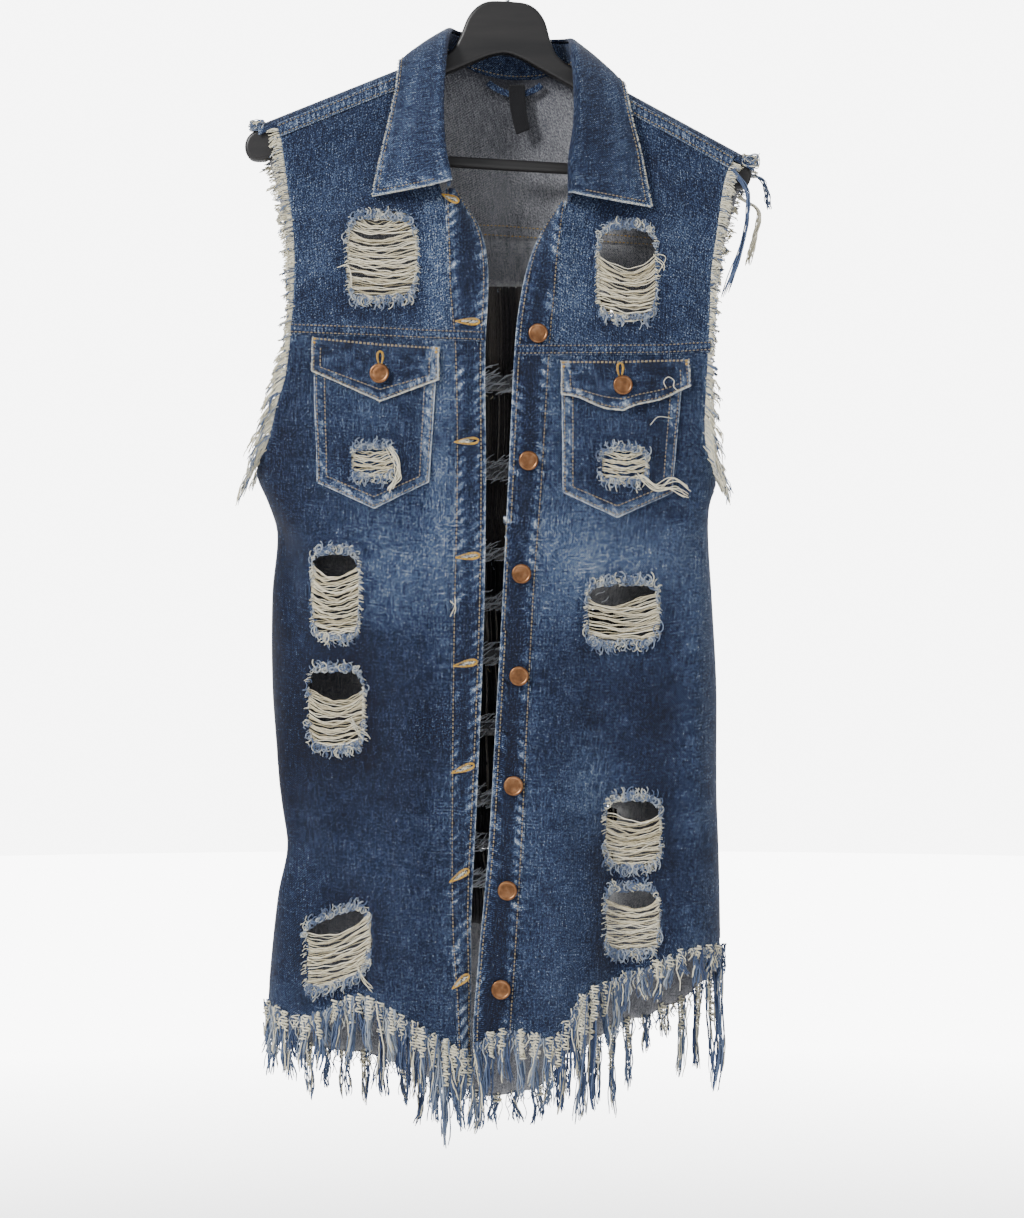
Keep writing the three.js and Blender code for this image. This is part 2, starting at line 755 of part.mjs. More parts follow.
function collarGrids() {
  const stations = spread(21).map((t) => t * 16);
  const stand = spread(3).map((w) => stations.map((at) => collarAt("n", at).lerp(collarAt("c", at), w)));
  const leaf = leafRows.map((row) =>
    stations.map((at) => {
      const fold = collarAt("c", at);
      const rise = fold.clone().sub(collarAt("n", at)).normalize();
      const run = collarAt("c", at + 0.1).sub(collarAt("c", at - 0.1)).normalize();
      const out = rise.clone().cross(run);
      return fold
        .lerp(collarAt("o", at), row.share)
        .addScaledVector(rise, row.rise)
        .addScaledVector(out, row.out);
    }),
  );
  return { stand, leaf };
}

// One lock of fringe: a bent three-sided prism, thin at its root and tapering to its end
function lockSolid(path, width, thick) {
  const corners = 3;
  const swell = [0.45, 1, 0.9, 0.35];
  const rings = path.map((p, i) => {
    const size = i === path.length - 1 ? swell.at(-1) : swell[i];
    const before = path[max(i - 1, 0)];
    const after = path[min(i + 1, path.length - 1)];
    const run = after.clone().sub(before).normalize();
    const across = new THREE.Vector3(0, 1, 0).cross(run).normalize();
    const over = run.clone().cross(across);
    return Array.from({ length: corners }, (_, k) => {
      const a = (2 * PI * (k + 0.5)) / corners;
      return p
        .clone()
        .addScaledVector(across, (width / 2) * size * cos(a))
        .addScaledVector(over, (thick / 2) * size * sin(a));
    });
  });
  const faces = [];
  for (let i = 0; i < rings.length - 1; i++)
    for (let k = 0; k < corners; k++) {
      const a = i * corners + k;
      const b = i * corners + ((k + 1) % corners);
      faces.push(a, b, b + corners, a, b + corners, a + corners);
    }
  const end = (rings.length - 1) * corners;
  faces.push(0, 2, 1, end, end + 1, end + 2);
  const made = new THREE.BufferGeometry();
  const points = rings.flat().flatMap((p) => [...p]);
  made.setAttribute("position", new THREE.Float32BufferAttribute(points, 3));
  made.setIndex(faces);
  return solidOf(made);
}

// Point at a share of the way along a line of points
function alongLine(points, share) {
  const run = [0];
  for (let i = 1; i < points.length; i++) run.push(run[i - 1] + points[i].distanceTo(points[i - 1]));
  const want = share * run.at(-1);
  let i = 0;
  while (i < points.length - 2 && run[i + 1] < want) i++;
  return points[i].clone().lerp(points[i + 1], (want - run[i]) / (run[i + 1] - run[i]));
}

// Directions square to a raw edge, pointing off the cloth
function offEdge(edge, away) {
  return edge.map((_, i) => {
    const run = edge[min(i + 1, edge.length - 1)].clone().sub(edge[max(i - 1, 0)]).normalize();
    return away(i).clone().addScaledVector(run, -run.dot(away(i))).normalize();
  });
}

// A fringe: a narrow strip parted from a raw edge, with its locks rooted in it
const stripRows = [0.9, 3.2];
const stripThick = 2.2;
function fringe(name, { edge, out, count, lengthAt, width, thick, steps, droop, extra = [] }, finish) {
  const square = offEdge(edge, out);
  const outward = edge[0].y < 0 ? facesFront : facesBackOrUp;
  const lineAt = (d) => edge.map((p, i) => p.clone().addScaledVector(square[i], d));
  let made = solidOf(wall(stripRows.map(lineAt), outward, cloth / 2 - stripThick / 2, cloth / 2 + stripThick / 2));
  const face = new THREE.Vector3(0, sign(edge[0].y), 0);
  const roots = lineAt(2.1).map((p) => p.addScaledVector(face, cloth / 2));
  const paths = Array.from({ length: count }, (_, i) => {
    const share = (i + 0.5) / count;
    const root = alongLine(roots, share);
    const length = lengthAt(root, i);
    const way = out(Math.round(share * (edge.length - 1)));
    return spread(steps + 1).map((t) => {
      const sway = new THREE.Vector3(2.2 * sin(i * 1.7 + 2 * t) * t, 1.6 * sin(i * 2.3) * t, 0);
      const fall = new THREE.Vector3(0, 0, -droop * length * t * t);
      return root.clone().addScaledVector(way, length * t * (1 - 0.4 * droop * t)).add(fall).add(sway);
    });
  });
  const tails = extra.map(({ share, points }) => [alongLine(roots, share), ...points]);
  for (const path of [...paths, ...tails]) made = made.add(lockSolid(path, width, thick));
  addPart(name, geometryOf(made), finish);
}

const columnOf = (grid, c) => grid.map((row) => row.at(c));
const down = new THREE.Vector3(0, 0, -1);

// Hem locks: reach below the hem line by place across the front view
const hemReach = {
  left: table("x reach", [
    [-214, 44],
    [-195, 50],
    [-180, 53],
    [-160, 44],
    [-142, 56],
    [-128, 48],
    [-112, 70],
    [-90, 60],
    [-70, 84],
    [-58, 88],
    [-46, 64],
    [-36, 60],
  ]),
  right: table("x reach", [
    [-33, 66],
    [-10, 62],
    [12, 56],
    [30, 60],
    [46, 70],
    [56, 92],
    [70, 120],
    [82, 70],
    [96, 40],
    [130, 32],
    [182, 30],
  ]),
  back: table("x reach", [
    [-214, 60],
    [-150, 66],
    [-100, 60],
    [-60, 52],
    [-20, 34],
    [20, 30],
    [50, 60],
    [90, 96],
    [120, 100],
    [140, 70],
    [164, 104],
    [184, 100],
  ]),
};

function hemFringe(side) {
  const edge = [...frontGrids["front_" + side].at(-1)];
  const strip = frontGrids["placket_lower_" + side].at(-1);
  edge.unshift(...strip.slice(1).reverse());
  fringe(
    "hem_fringe_" + side,
    {
      edge,
      out: () => down,
      count: 22,
      lengthAt: (p, i) => columnAt(hemReach[side], "x", "reach", p.x) * (1 - 0.16 * ((i * 7) % 3)),
      width: 6.8,
      thick: 4,
      steps: 3,
      droop: 0,
    },
    blueYarn,
  );
}

// Long loose strands that hang from the ends of the right shoulder
const tailRows = table("face share x1 y1 z1 x2 y2 z2 x3 y3 z3", [
  ["front", 0.02, 205, -15, -236, 201, -17, -275, 185, -19, -322],
  ["back", 0.02, 220, 14, -218, 224, 15, -229, 226, 15, -243],
  ["back", 0.11, 217, 17, -245, 214, 18, -266, 209, 18, -291],
]);

function tailsOf(side, face) {
  const rows = side === "right" ? tailRows.filter((row) => row.face === face) : [];
  return rows.map((row) => ({
    share: row.share,
    points: [1, 2, 3].map((k) => new THREE.Vector3(row["x" + k], row["y" + k], row["z" + k])),
  }));
}

function armFringe(side, face) {
  const { lateral } = half[side];
  const names = face === "front" ? ["yoke_front_" + side, "front_" + side] : ["yoke_back", "back"];
  const last = face === "front" || side === "right" ? -1 : 0;
  const grids = names.map((n) => frontGrids[n]);
  if (face === "back") grids[0] = grids[0].slice(7);
  const lower = columnOf(grids[1], last).filter((p) => p.z > armholeFoot[side] + 12);
  const edge = [...columnOf(grids[0], last), ...lower];
  fringe(
    "armhole_fringe_" + face + "_" + side,
    {
      edge,
      out: (i) => {
        const low = THREE.MathUtils.clamp((-edge[i].z - 330) / 130, 0, 1);
        return new THREE.Vector3(lateral * lerp(1, 0.7, low), 0, lerp(-0.12, -0.6, low)).normalize();
      },
      count: face === "front" ? 24 : 16,
      lengthAt: (p, i) => 12 + 15 * ramp((-365 - p.z) / 30) + 14 * ramp((-415 - p.z) / 30) + 3 * ((i * 5) % 3),
      width: 5.2,
      thick: 3,
      steps: 2,
      droop: 0.35,
      extra: tailsOf(side, face),
    },
    yarn,
  );
}

// Hanger
const hanger = new THREE.Group();
hanger.rotation.y = list;
model.add(hanger);

const hangerHalf = table("x z", [
  [0, -65],
  [17, -65.5],
  [26, -70],
  [34, -80],
  [39.5, -98],
  [45, -110],
  [56, -117],
  [130, -151.2],
  [214, -190.6],
  [221, -197],
  [hangerSpan / 2, -207],
  [218, -217],
  [208, -218],
  [196, -214],
  [187, -201],
  [150, -181],
  [64, -138.5],
  [14, -114],
  [0, -110],
]);

function hangerArms() {
  const right = hangerHalf.map(({ x, z }) => [x, z]);
  const left = hangerHalf.slice(1, -1).map(({ x, z }) => [-x, z]);
  const shape = new THREE.Shape([...right, ...left.reverse()].map(([x, z]) => new THREE.Vector2(x, z)));
  const bevel = 3;
  const arms = new THREE.ExtrudeGeometry(shape, {
    depth: hangerThick - 2 * bevel,
    bevelThickness: bevel,
    bevelSize: bevel,
    bevelOffset: -bevel,
    bevelSegments: 1,
  });
  arms.rotateX(PI / 2).translate(0, hangerThick / 2 - bevel, 0);
  const socket = new THREE.CylinderGeometry(barDiameter / 2 + seamGap, barDiameter / 2 + seamGap, 402, 14);
  socket.rotateZ(PI / 2).translate(0, 0, barZ);
  const bore = wireDiameter / 2 + seamGap + 0.1;
  const hookHole = new THREE.CylinderGeometry(bore, bore, 24, 14).rotateX(PI / 2).translate(0, 0, -74);
  return geometryOf(cutBy(arms, socket, hookHole));
}

const barZ = -207.5;
function trouserBar() {
  const bar = new THREE.CylinderGeometry(barDiameter / 2, barDiameter / 2, 401.2, 14);
  return bar.rotateZ(PI / 2).translate(0, 0, barZ);
}

function hook() {
  const centre = -(hookRadius - wireDiameter / 2);
  const arc = Array.from({ length: 13 }, (_, i) => {
    const a = THREE.MathUtils.degToRad(lerp(-38, 200, i / 12));
    return new THREE.Vector3(hookRadius * cos(a), 0, centre + hookRadius * sin(a));
  });
  const neck = [-85.5, -70, -56, -47].map((z) => new THREE.Vector3(0, 0, z));
  neck.push(new THREE.Vector3(4, 0, -39));
  const route = new THREE.CatmullRomCurve3([...neck, ...arc], false, "centripetal");
  const section = new THREE.Shape();
  section.absarc(0, 0, wireDiameter / 2, 0, 2 * PI);
  return new THREE.ExtrudeGeometry(section, { steps: 24, curveSegments: 4, extrudePath: route, bevelEnabled: false });
}

addPart("hanger_arms", hangerArms(), blackWood, hanger);
addPart("hanger_bar", trouserBar(), blackWood, hanger);
addPart("hanger_hook", hook(), steel, hanger);

// Build the garment from the inside out
const collar = collarGrids();
const standSkin = wall(collar.stand, facesInward, -doubled / 2 - seamGap, doubled / 2 + seamGap);

for (const side of ["left", "right"]) {
  frontPanels(side);
  const yoke = cutBy(wall(frontGrids["yoke_front_" + side], facesFront, 0, cloth), standSkin);
  tornPanel("yoke_front_" + side, geometryOf(yoke), denim);
  tornPanel("front_" + side, wall(frontGrids["front_" + side], facesFront, 0, cloth), denim);
  plackets(side);
}
addPart("yoke_back", geometryOf(backYoke().subtract(solidOf(standSkin))), denim);
addPart("back", geometryOf(longBack()), denim);
for (const side of ["left", "right"]) {
  yokeBand(side);
  chestPocket(side);
  shoulderBand(side);
}

addPart("collar_leaf", wall(collar.leaf, facesInward, -doubled / 2, doubled / 2), denim);
const placketSkins = ["left", "right"].map((side) =>
  wall(frontGrids["placket_upper_" + side], facesFront, -seamGap, doubled + seamGap),
);
const stand = cutBy(wall(collar.stand, facesInward, -doubled / 2, doubled / 2), ...placketSkins);
addPart("collar_stand", geometryOf(stand), denim);

// Hanging loop and blank ribbon at the back of the neck
function neckLoop() {
  const drop = [0, 5.5, 8.5, 9.5, 8.5, 5.5, 0];
  const points = drop.map((d, i) => {
    const x = lerp(-21, 26, i / 6);
    const p = backPoint(x, -132.5 - 0.06 * x - d);
    return p.add(new THREE.Vector3(0, -5.2 - d * 0.35 - 0.04 * max(x, 0), 0));
  });
  const route = new THREE.CatmullRomCurve3(points);
  const section = new THREE.Shape([
    new THREE.Vector2(-0.9, -2.8),
    new THREE.Vector2(0.9, -2.8),
    new THREE.Vector2(0.9, 2.8),
    new THREE.Vector2(-0.9, 2.8),
  ]);
  return new THREE.ExtrudeGeometry(section, { steps: 14, extrudePath: route, bevelEnabled: false });
}

function neckRibbon() {
  const grid = spread(6).map((r) =>
    spread(3).map((c) => {
      const x = lerp(-3, 11.5, c) + 7 * r * r - 3 * r * r * c;
      const z = -134 - 40 * r - 5 * r * (1 - c);
      const p = backPoint(x, z);
      return p.add(new THREE.Vector3(0, -10 - 5 * r * r * (1 - 0.5 * c), 0));
    }),
  );
  return wall(grid, facesFront, 0, 1);
}

addPart("neck_loop", neckLoop(), denim);
addPart("neck_ribbon", neckRibbon(), ribbon);

// Buttons: a broad rimmed head on a short shank
const buttonRows = table("name x drop base", [
  ["button_1", 22.3, 359.5, doubled],
  ["button_2", 14.1, 469, doubled],
  ["button_3", 8.1, 566, doubled],
  ["button_4", 6, 653.5, doubled],
  ["button_5", 1.3, 747.5, doubled],
  ["button_6", -3.9, 837, doubled],
  ["button_7", -9.4, 921.5, doubled],
  ["button_pocket_left", -113.2, 394.5, flapBase + flapThick + 0.5],
  ["button_pocket_right", 94.2, 404.5, flapBase + flapThick + 1.6],
]);

function buttonGeometry() {
  const head = buttonDiameter / 2;
  const profile = [
    [0, 0],
    [4, 0],
    [4, 1.8],
    [head - 0.6, 2],
    [head, 3.1],
    [head - 1.2, 4.4],
    [0, 4.1],
  ];
  const made = new THREE.LatheGeometry(profile.map(([r, h]) => new THREE.Vector2(r, h)), 12);
  return made.rotateX(PI);
}

function surfaceNormal(x, z) {
  const across = frontPoint(x + 4, z).sub(frontPoint(x - 4, z));
  const downward = frontPoint(x, z - 4).sub(frontPoint(x, z + 4));
  const normal = across.cross(downward).normalize();
  return normal.y > 0 ? normal.negate() : normal;
}

for (const row of buttonRows) {
  const normal = surfaceNormal(row.x, -row.drop);
  const button = addPart(row.name, buttonGeometry(), copper);
  button.position.copy(frontPoint(row.x, -row.drop)).addScaledVector(normal, row.base + seamGap);
  button.quaternion.setFromUnitVectors(new THREE.Vector3(0, -1, 0), normal);
}

// Frayed edges
for (const side of ["left", "right"]) hemFringe(side);
fringe(
  "hem_fringe_back",
  {
    edge: frontGrids.back.at(-1),
    out: () => down,
    count: 28,
    lengthAt: (p, i) => columnAt(hemReach.back, "x", "reach", p.x) * (1 - 0.14 * ((i * 5) % 3)),
    width: 6.8,
    thick: 4,
    steps: 3,
    droop: 0,
  },
  blueYarn,
);
armFringe("left", "front");
armFringe("right", "front");
armFringe("left", "back");
armFringe("right", "back");

export default model;
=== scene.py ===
# Long torn denim vest, hung open on a flat wooden hanger.
# Shapes are worked out in millimetres, from the hook's crown down, and handed to Blender in metres.
# +X is the viewer's right, +Y away from the viewer, +Z up. Heights in tables are drops below the crown.
import math

import bpy
import numpy as np
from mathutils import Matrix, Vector


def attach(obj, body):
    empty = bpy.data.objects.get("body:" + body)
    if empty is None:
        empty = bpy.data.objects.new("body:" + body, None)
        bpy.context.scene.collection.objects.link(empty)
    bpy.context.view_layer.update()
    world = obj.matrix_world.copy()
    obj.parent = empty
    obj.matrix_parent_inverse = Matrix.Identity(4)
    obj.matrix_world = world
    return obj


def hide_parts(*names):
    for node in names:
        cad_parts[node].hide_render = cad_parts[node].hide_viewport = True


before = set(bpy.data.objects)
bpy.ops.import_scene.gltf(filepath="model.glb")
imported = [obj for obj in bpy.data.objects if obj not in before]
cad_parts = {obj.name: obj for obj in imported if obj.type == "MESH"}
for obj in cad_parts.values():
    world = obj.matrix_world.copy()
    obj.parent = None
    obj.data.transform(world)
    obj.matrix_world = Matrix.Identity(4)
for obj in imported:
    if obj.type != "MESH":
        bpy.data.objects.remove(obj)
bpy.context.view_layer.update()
mm = 0.001
body = "root"

# Camera, lights and floor

studio = {
    "cameraDistance": 2.4,
    "cameraHeight": -0.596,
    "halfFrame": 0.533,  # half the frame's height where the vest hangs
    "floorHeight": -1.6,
    "floorRadius": 9.0,
    "floorColor": (0.93, 0.93, 0.93),
    "skyColor": (0.93, 0.95, 1.0),
    "skyStrength": 0.78,
    "wallStrength": 9.0,
    "floorFade": (0.7, 2.6),  # metres out from the vest over which the floor turns as white as the wall
}
lampRows = [  # name, place, size, watts
    ("keyLamp", (-1.9, -1.9, 1.1), 0.7, 96),
    ("fillLamp", (2.1, -2.4, 0.1), 2.0, 8),
    ("topLamp", (0.2, 1.2, 1.4), 1.4, 14),
    ("floorLamp", (0.0, 3.4, 1.2), 2.4, 210),
]


def addCamera():
    data = bpy.data.cameras.new("photoCamera")
    data.sensor_fit = "VERTICAL"
    data.lens = data.sensor_height / 2 * studio["cameraDistance"] / studio["halfFrame"]
    camera = bpy.data.objects.new("photoCamera", data)
    camera.location = (0, -studio["cameraDistance"], studio["cameraHeight"])
    camera.rotation_euler = (math.pi / 2, 0, 0)
    bpy.context.collection.objects.link(camera)
    bpy.context.scene.camera = camera


def addLamps():
    target = Vector((0, 0, studio["cameraHeight"]))
    for name, place, size, watts in lampRows:
        data = bpy.data.lights.new(name, "AREA")
        data.size = size
        data.energy = watts
        lamp = bpy.data.objects.new(name, data)
        lamp.location = place
        lamp.rotation_euler = (target - lamp.location).to_track_quat("-Z", "Y").to_euler()
        bpy.context.collection.objects.link(lamp)
    world = bpy.data.worlds.new("paleStudio")
    world.use_nodes = True
    tree = world.node_tree
    sky = tree.nodes["Background"]
    sky.inputs["Color"].default_value = (*studio["skyColor"], 1)
    sky.inputs["Strength"].default_value = studio["skyStrength"]
    wall = tree.nodes.new("ShaderNodeBackground")  # the white wall that the camera sees behind the vest
    wall.inputs["Strength"].default_value = studio["wallStrength"]
    seen = tree.nodes.new("ShaderNodeLightPath")
    blend = tree.nodes.new("ShaderNodeMixShader")
    tree.links.new(seen.outputs["Is Camera Ray"], blend.inputs[0])
    tree.links.new(sky.outputs[0], blend.inputs[1])
    tree.links.new(wall.outputs[0], blend.inputs[2])
    tree.links.new(blend.outputs[0], tree.nodes["World Output"].inputs["Surface"])
    bpy.context.scene.world = world


def addFloor():
    turn = np.linspace(0, 2 * np.pi, 96, endpoint=False)
    ring = np.stack([np.cos(turn), np.sin(turn), 0 * turn], axis=1) * studio["floorRadius"]
    ring[:, 2] = studio["floorHeight"]
    mesh = bpy.data.meshes.new("paleFloor")
    mesh.from_pydata(ring.tolist(), [], [list(range(len(ring)))])
    floor = bpy.data.objects.new("paleFloor", mesh)
    bpy.context.collection.objects.link(floor)
    paint = bpy.data.materials.new("palePaint")
    paint.use_nodes = True
    tree = paint.node_tree
    shader = tree.nodes["Principled BSDF"]
    shader.inputs["Base Color"].default_value = (*studio["floorColor"], 1)
    shader.inputs["Roughness"].default_value = 0.7
    near, far = (out - studio["floorHeight"] for out in studio["floorFade"])
    place = addNode(tree, "ShaderNodeTexCoord").outputs["Object"]
    away = addNode(tree, "ShaderNodeVectorMath", {0: place}, operation="LENGTH").outputs["Value"]
    fadeAndShade = addNode(tree, "ShaderNodeMapRange", {"Value": away, "From Min": near, "From Max": far})
    path = addNode(tree, "ShaderNodeLightPath")
    seen = addMath(tree, "MULTIPLY", fadeAndShade.outputs["Result"], path.outputs["Is Camera Ray"])
    glow = addNode(tree, "ShaderNodeEmission", {"Strength": studio["wallStrength"]})
    blend = addNode(tree, "ShaderNodeMixShader", {0: seen, 1: shader.outputs[0], 2: glow.outputs[0]})
    tree.links.new(blend.outputs[0], tree.nodes["Material Output"].inputs["Surface"])
    mesh.materials.append(paint)


# Small sums


def lerp(a, b, t):
    return a + (b - a) * t


def ramp(t):
    t = np.clip(t, 0, 1)
    return t * t * (3 - 2 * t)


def bell(x, width):
    return np.exp(-((x / width) ** 2))


def unit(v):
    return v / np.maximum(np.linalg.norm(v, axis=-1, keepdims=True), 1e-9)


def stack(x, y, z):
    return np.stack(np.broadcast_arrays(x, y, z), axis=-1).astype(float)


def readLine(want, run, line):
    # places on a line of points, at given runs along it
    return stack(*[np.interp(want, run, line[:, k]) for k in range(3)])


def ringFaces(rows, columns):
    # quads between neighbouring closed rings of points, with the indices of each ring and of its next points
    index = np.arange(rows * columns).reshape(rows, columns)
    after = np.roll(index, -1, axis=1)
    quads = np.stack([index[:-1], index[1:], after[1:], after[:-1]], axis=-1)
    return index, after, quads.reshape(-1, 4).tolist()


def columnAt(rows, column, at):
    # smooth curve through a table's rows: the slope at each row is the rise between its two neighbours
    keys, values = rows[:, 0], rows[:, column]
    slopes = np.empty_like(values)
    slopes[1:-1] = (values[2:] - values[:-2]) / (keys[2:] - keys[:-2])
    slopes[0] = (values[1] - values[0]) / (keys[1] - keys[0])
    slopes[-1] = (values[-1] - values[-2]) / (keys[-1] - keys[-2])
    at = np.clip(at, keys[0], keys[-1])
    i = np.clip(np.searchsorted(keys, at, side="right") - 1, 0, len(keys) - 2)
    step = keys[i + 1] - keys[i]
    t = (at - keys[i]) / step
    rise = t * t * (3 - 2 * t)
    leave = (t**3 - 2 * t * t + t) * step * slopes[i]
    arrive = (t**3 - t * t) * step * slopes[i + 1]
    return values[i] * (1 - rise) + values[i + 1] * rise + leave + arrive


def softNoise(u, v, cell, seed):
    # heights of a seeded lattice, from -1 to 1, blended smoothly between its corners
    lattice = np.random.default_rng(seed).uniform(-1, 1, (64, 64))
    a, b = np.broadcast_arrays(np.asarray(u, float) / cell, np.asarray(v, float) / cell)
    i, j = np.floor(a).astype(int), np.floor(b).astype(int)
    s, t = ramp(a - i), ramp(b - j)

    def corner(p, q):
        return lattice[p % 64, q % 64]

    near = lerp(corner(i, j), corner(i + 1, j), s)
    far = lerp(corner(i, j + 1), corner(i + 1, j + 1), s)
    return lerp(near, far, t)


# The garment's form

vest = {
    "cloth": 1.4,
    "doubled": 2.6,
    "lyingGap": 0.5,
    "bandThick": 1.1,
    "seamGap": 0.3,
    "roundness": 3,
    "crestDrop": 88,
    "crestRound": 9.5,
    "armRise": 0.47,
    "list": math.radians(3.4),
}

sideRows = np.array([  # drop, left, right
    [120, -300, 262], [250, -286, 246], [350, -262, 215], [430, -239, 190],
    [467, -226.5, 181], [483, -220.5, 178.5], [504, -211, 171], [530, -203.5, 169.5],
    [583, -207.8, 172.5], [662, -207.8, 176.7], [724, -203.3, 176.8], [762, -199.8, 177],
    [802, -194.5, 178.5], [847, -203, 179.6], [936, -211.5, 181], [1040, -215, 184],
])
depthRows = np.array([  # distance below the shoulder line, clearance, front depth, back depth
    [0, 9.5, 0, 0], [15, 9.5, 0.5, 0.5], [40, 9.5, 3, 4], [80, 9, 9, 10], [140, 7, 20, 19],
    [200, 4, 30, 27], [260, 1.2, 38, 34], [290, 0, 41, 36], [450, 0, 46, 42],
    [650, 0, 48, 45], [950, 0, 52, 50],
])
foldRows = [  # face, x at the top, x at the end, drop where it starts, where it is full, width, depth
    (-1, 50, 60, 640, 880, 26, 13), (-1, 84, 92, 620, 880, 20, -13), (-1, -96, -100, 700, 900, 26, 7),
    (-1, -140, -142, 660, 900, 24, -9), (-1, 150, 156, 560, 860, 18, 5), (-1, -186, -190, 470, 640, 12, -4),
    (1, -120, -130, 560, 900, 30, 12), (1, -60, -64, 640, 900, 24, -9), (1, 60, 70, 600, 900, 30, 12),
    (1, 122, 128, 640, 900, 22, -8),
]
armRows = {  # drop, x of the armhole's edge
    "frontLeft": np.array([
        [165, -209], [186, -202.6], [225, -197], [271, -190.5], [305, -189.6], [345, -191.4],
        [393, -196], [418, -203], [450, -211], [468, -219], [480, -221.7],
    ]),
    "frontRight": np.array([
        [190, 203], [208, 192], [224, 186.2], [243, 182.7], [271, 178.9], [303, 174],
        [363, 171.4], [431, 167], [455, 168], [474, 173.5], [488, 176.9],
    ]),
    "backLeft": np.array([
        [170, -222], [200, -214], [240, -204], [290, -198], [350, -198], [400, -203],
        [440, -212], [480, -221.7],
    ]),
    "backRight": np.array([
        [196, 212], [230, 199], [290, 184], [350, 177], [400, 174.5], [440, 174], [488, 176.9],
    ]),
}
openingRows = {  # drop, placket seam, front edge, how far the edge rolls back
    "left": np.array([
        [228, -57.5, -53, 10], [240, -57.5, -45.5, 14], [263, -57, -30.6, 13], [284, -56, -23.4, 8],
        [320, -55, -20.6, 2], [373, -50.5, -22.8, 0], [484, -49, -22.3, 0], [608, -51.5, -24, 0],
        [757, -53, -29.8, 0], [868, -52.5, -35.9, 3], [930, -48.5, -37, 8], [990, -46, -36.5, 9],
    ]),
    "right": np.array([
        [238, 48, 45.5, 8], [248, 46.4, 41, 12], [263, 44.2, 30.8, 14], [288, 41, 18.5, 9],
        [320, 38.5, 9, 3], [365, 34.5, 2.7, 0], [484, 27.5, -3.2, 0], [580, 20.5, -7.8, 0],
        [696, 14.8, -14.2, 0], [803, 10, -20.4, 0], [896, 4.5, -28.8, 0], [950, 1, -33, 0],
        [990, -1, -33.5, 0],
    ]),
}
hemRows = {  # x, drop of the raw hem
    "left": np.array([
        [-213, 938], [-206, 942], [-185, 950], [-165, 944], [-146, 934], [-127, 929.6],
        [-100, 942], [-84, 952.5], [-67, 963], [-48, 973], [-36, 985],
    ]),
    "right": np.array([
        [-33, 972], [-18, 961], [-1, 958], [15, 961], [36, 966], [47, 952], [57, 930],
        [76, 919], [103, 909], [138, 896], [155, 889], [182, 890],
    ]),
    "back": np.array([
        [-215, 960], [-180, 985], [-140, 992], [-100, 1002], [-60, 1018], [-20, 1031],
        [20, 1026], [50, 994], [113, 960], [141, 947], [184, 915],
    ]),
}
halves = {
    "left": {"lateral": -1, "foot": -480, "neck": -64.5, "arm": "frontLeft"},
    "right": {"lateral": 1, "foot": -488, "neck": 58.5, "arm": "frontRight"},
}


def alongHanger(x):
    lean = vest["crestDrop"] * math.sin(vest["list"])
    rise = vest["armRise"] * math.sin(vest["list"]) * np.where(x > -lean, -1, 1)
    return (x + lean) / (math.cos(vest["list"]) + rise)


def crestZ(x, soften=0):
    # the shoulder line falls from under the hook to both sides, on the leaning hanger
    along = alongHanger(x)
    out = np.sqrt(along**2 + soften**2)
    down = vest["crestDrop"] + vest["armRise"] * out
    return -along * math.sin(vest["list"]) - down * math.cos(vest["list"])


def foldDepth(x, z, face):
    total = 0 * x * z
    for which, xTop, xEnd, start, full, width, depth in foldRows:
        if which == face:
            down = (-z - start) / (full - start)
            total = total + depth * ramp(down) * bell(x - lerp(xTop, xEnd, np.clip(down, 0, 1)), width)
    return total


def sideShare(x, z):
    left, right = columnAt(sideRows, 1, -z), columnAt(sideRows, 2, -z)
    return np.clip((2 * x - left - right) / (right - left), -1, 1)


def clothDepth(x, z, face):
    # clearance, plus the depth of a rounded section (1 - share^3)^(1/3) that carries the long folds
    full = (1 - np.abs(sideShare(x, z)) ** vest["roundness"]) ** (1 / vest["roundness"])
    below = np.maximum(crestZ(x, 20) - z, 0)
    out = columnAt(depthRows, 1, below) + columnAt(depthRows, 2 if face < 0 else 3, below) * full
    out = out + foldDepth(x, z, face) * full
    if face > 0:
        out = out + 22 * bell(x + 4, 55) * np.exp(-below / 90) * (1 - np.exp(-below / 10))
    return face * out


def yokeSeam(x):
    return np.where(x < -5, -357.5 - 0.05 * (x + 105), -373.2 + 0.012 * x + 3 * ramp((x - 120) / 60))


def backSeam(x):
    return -268 - 0.06 * x
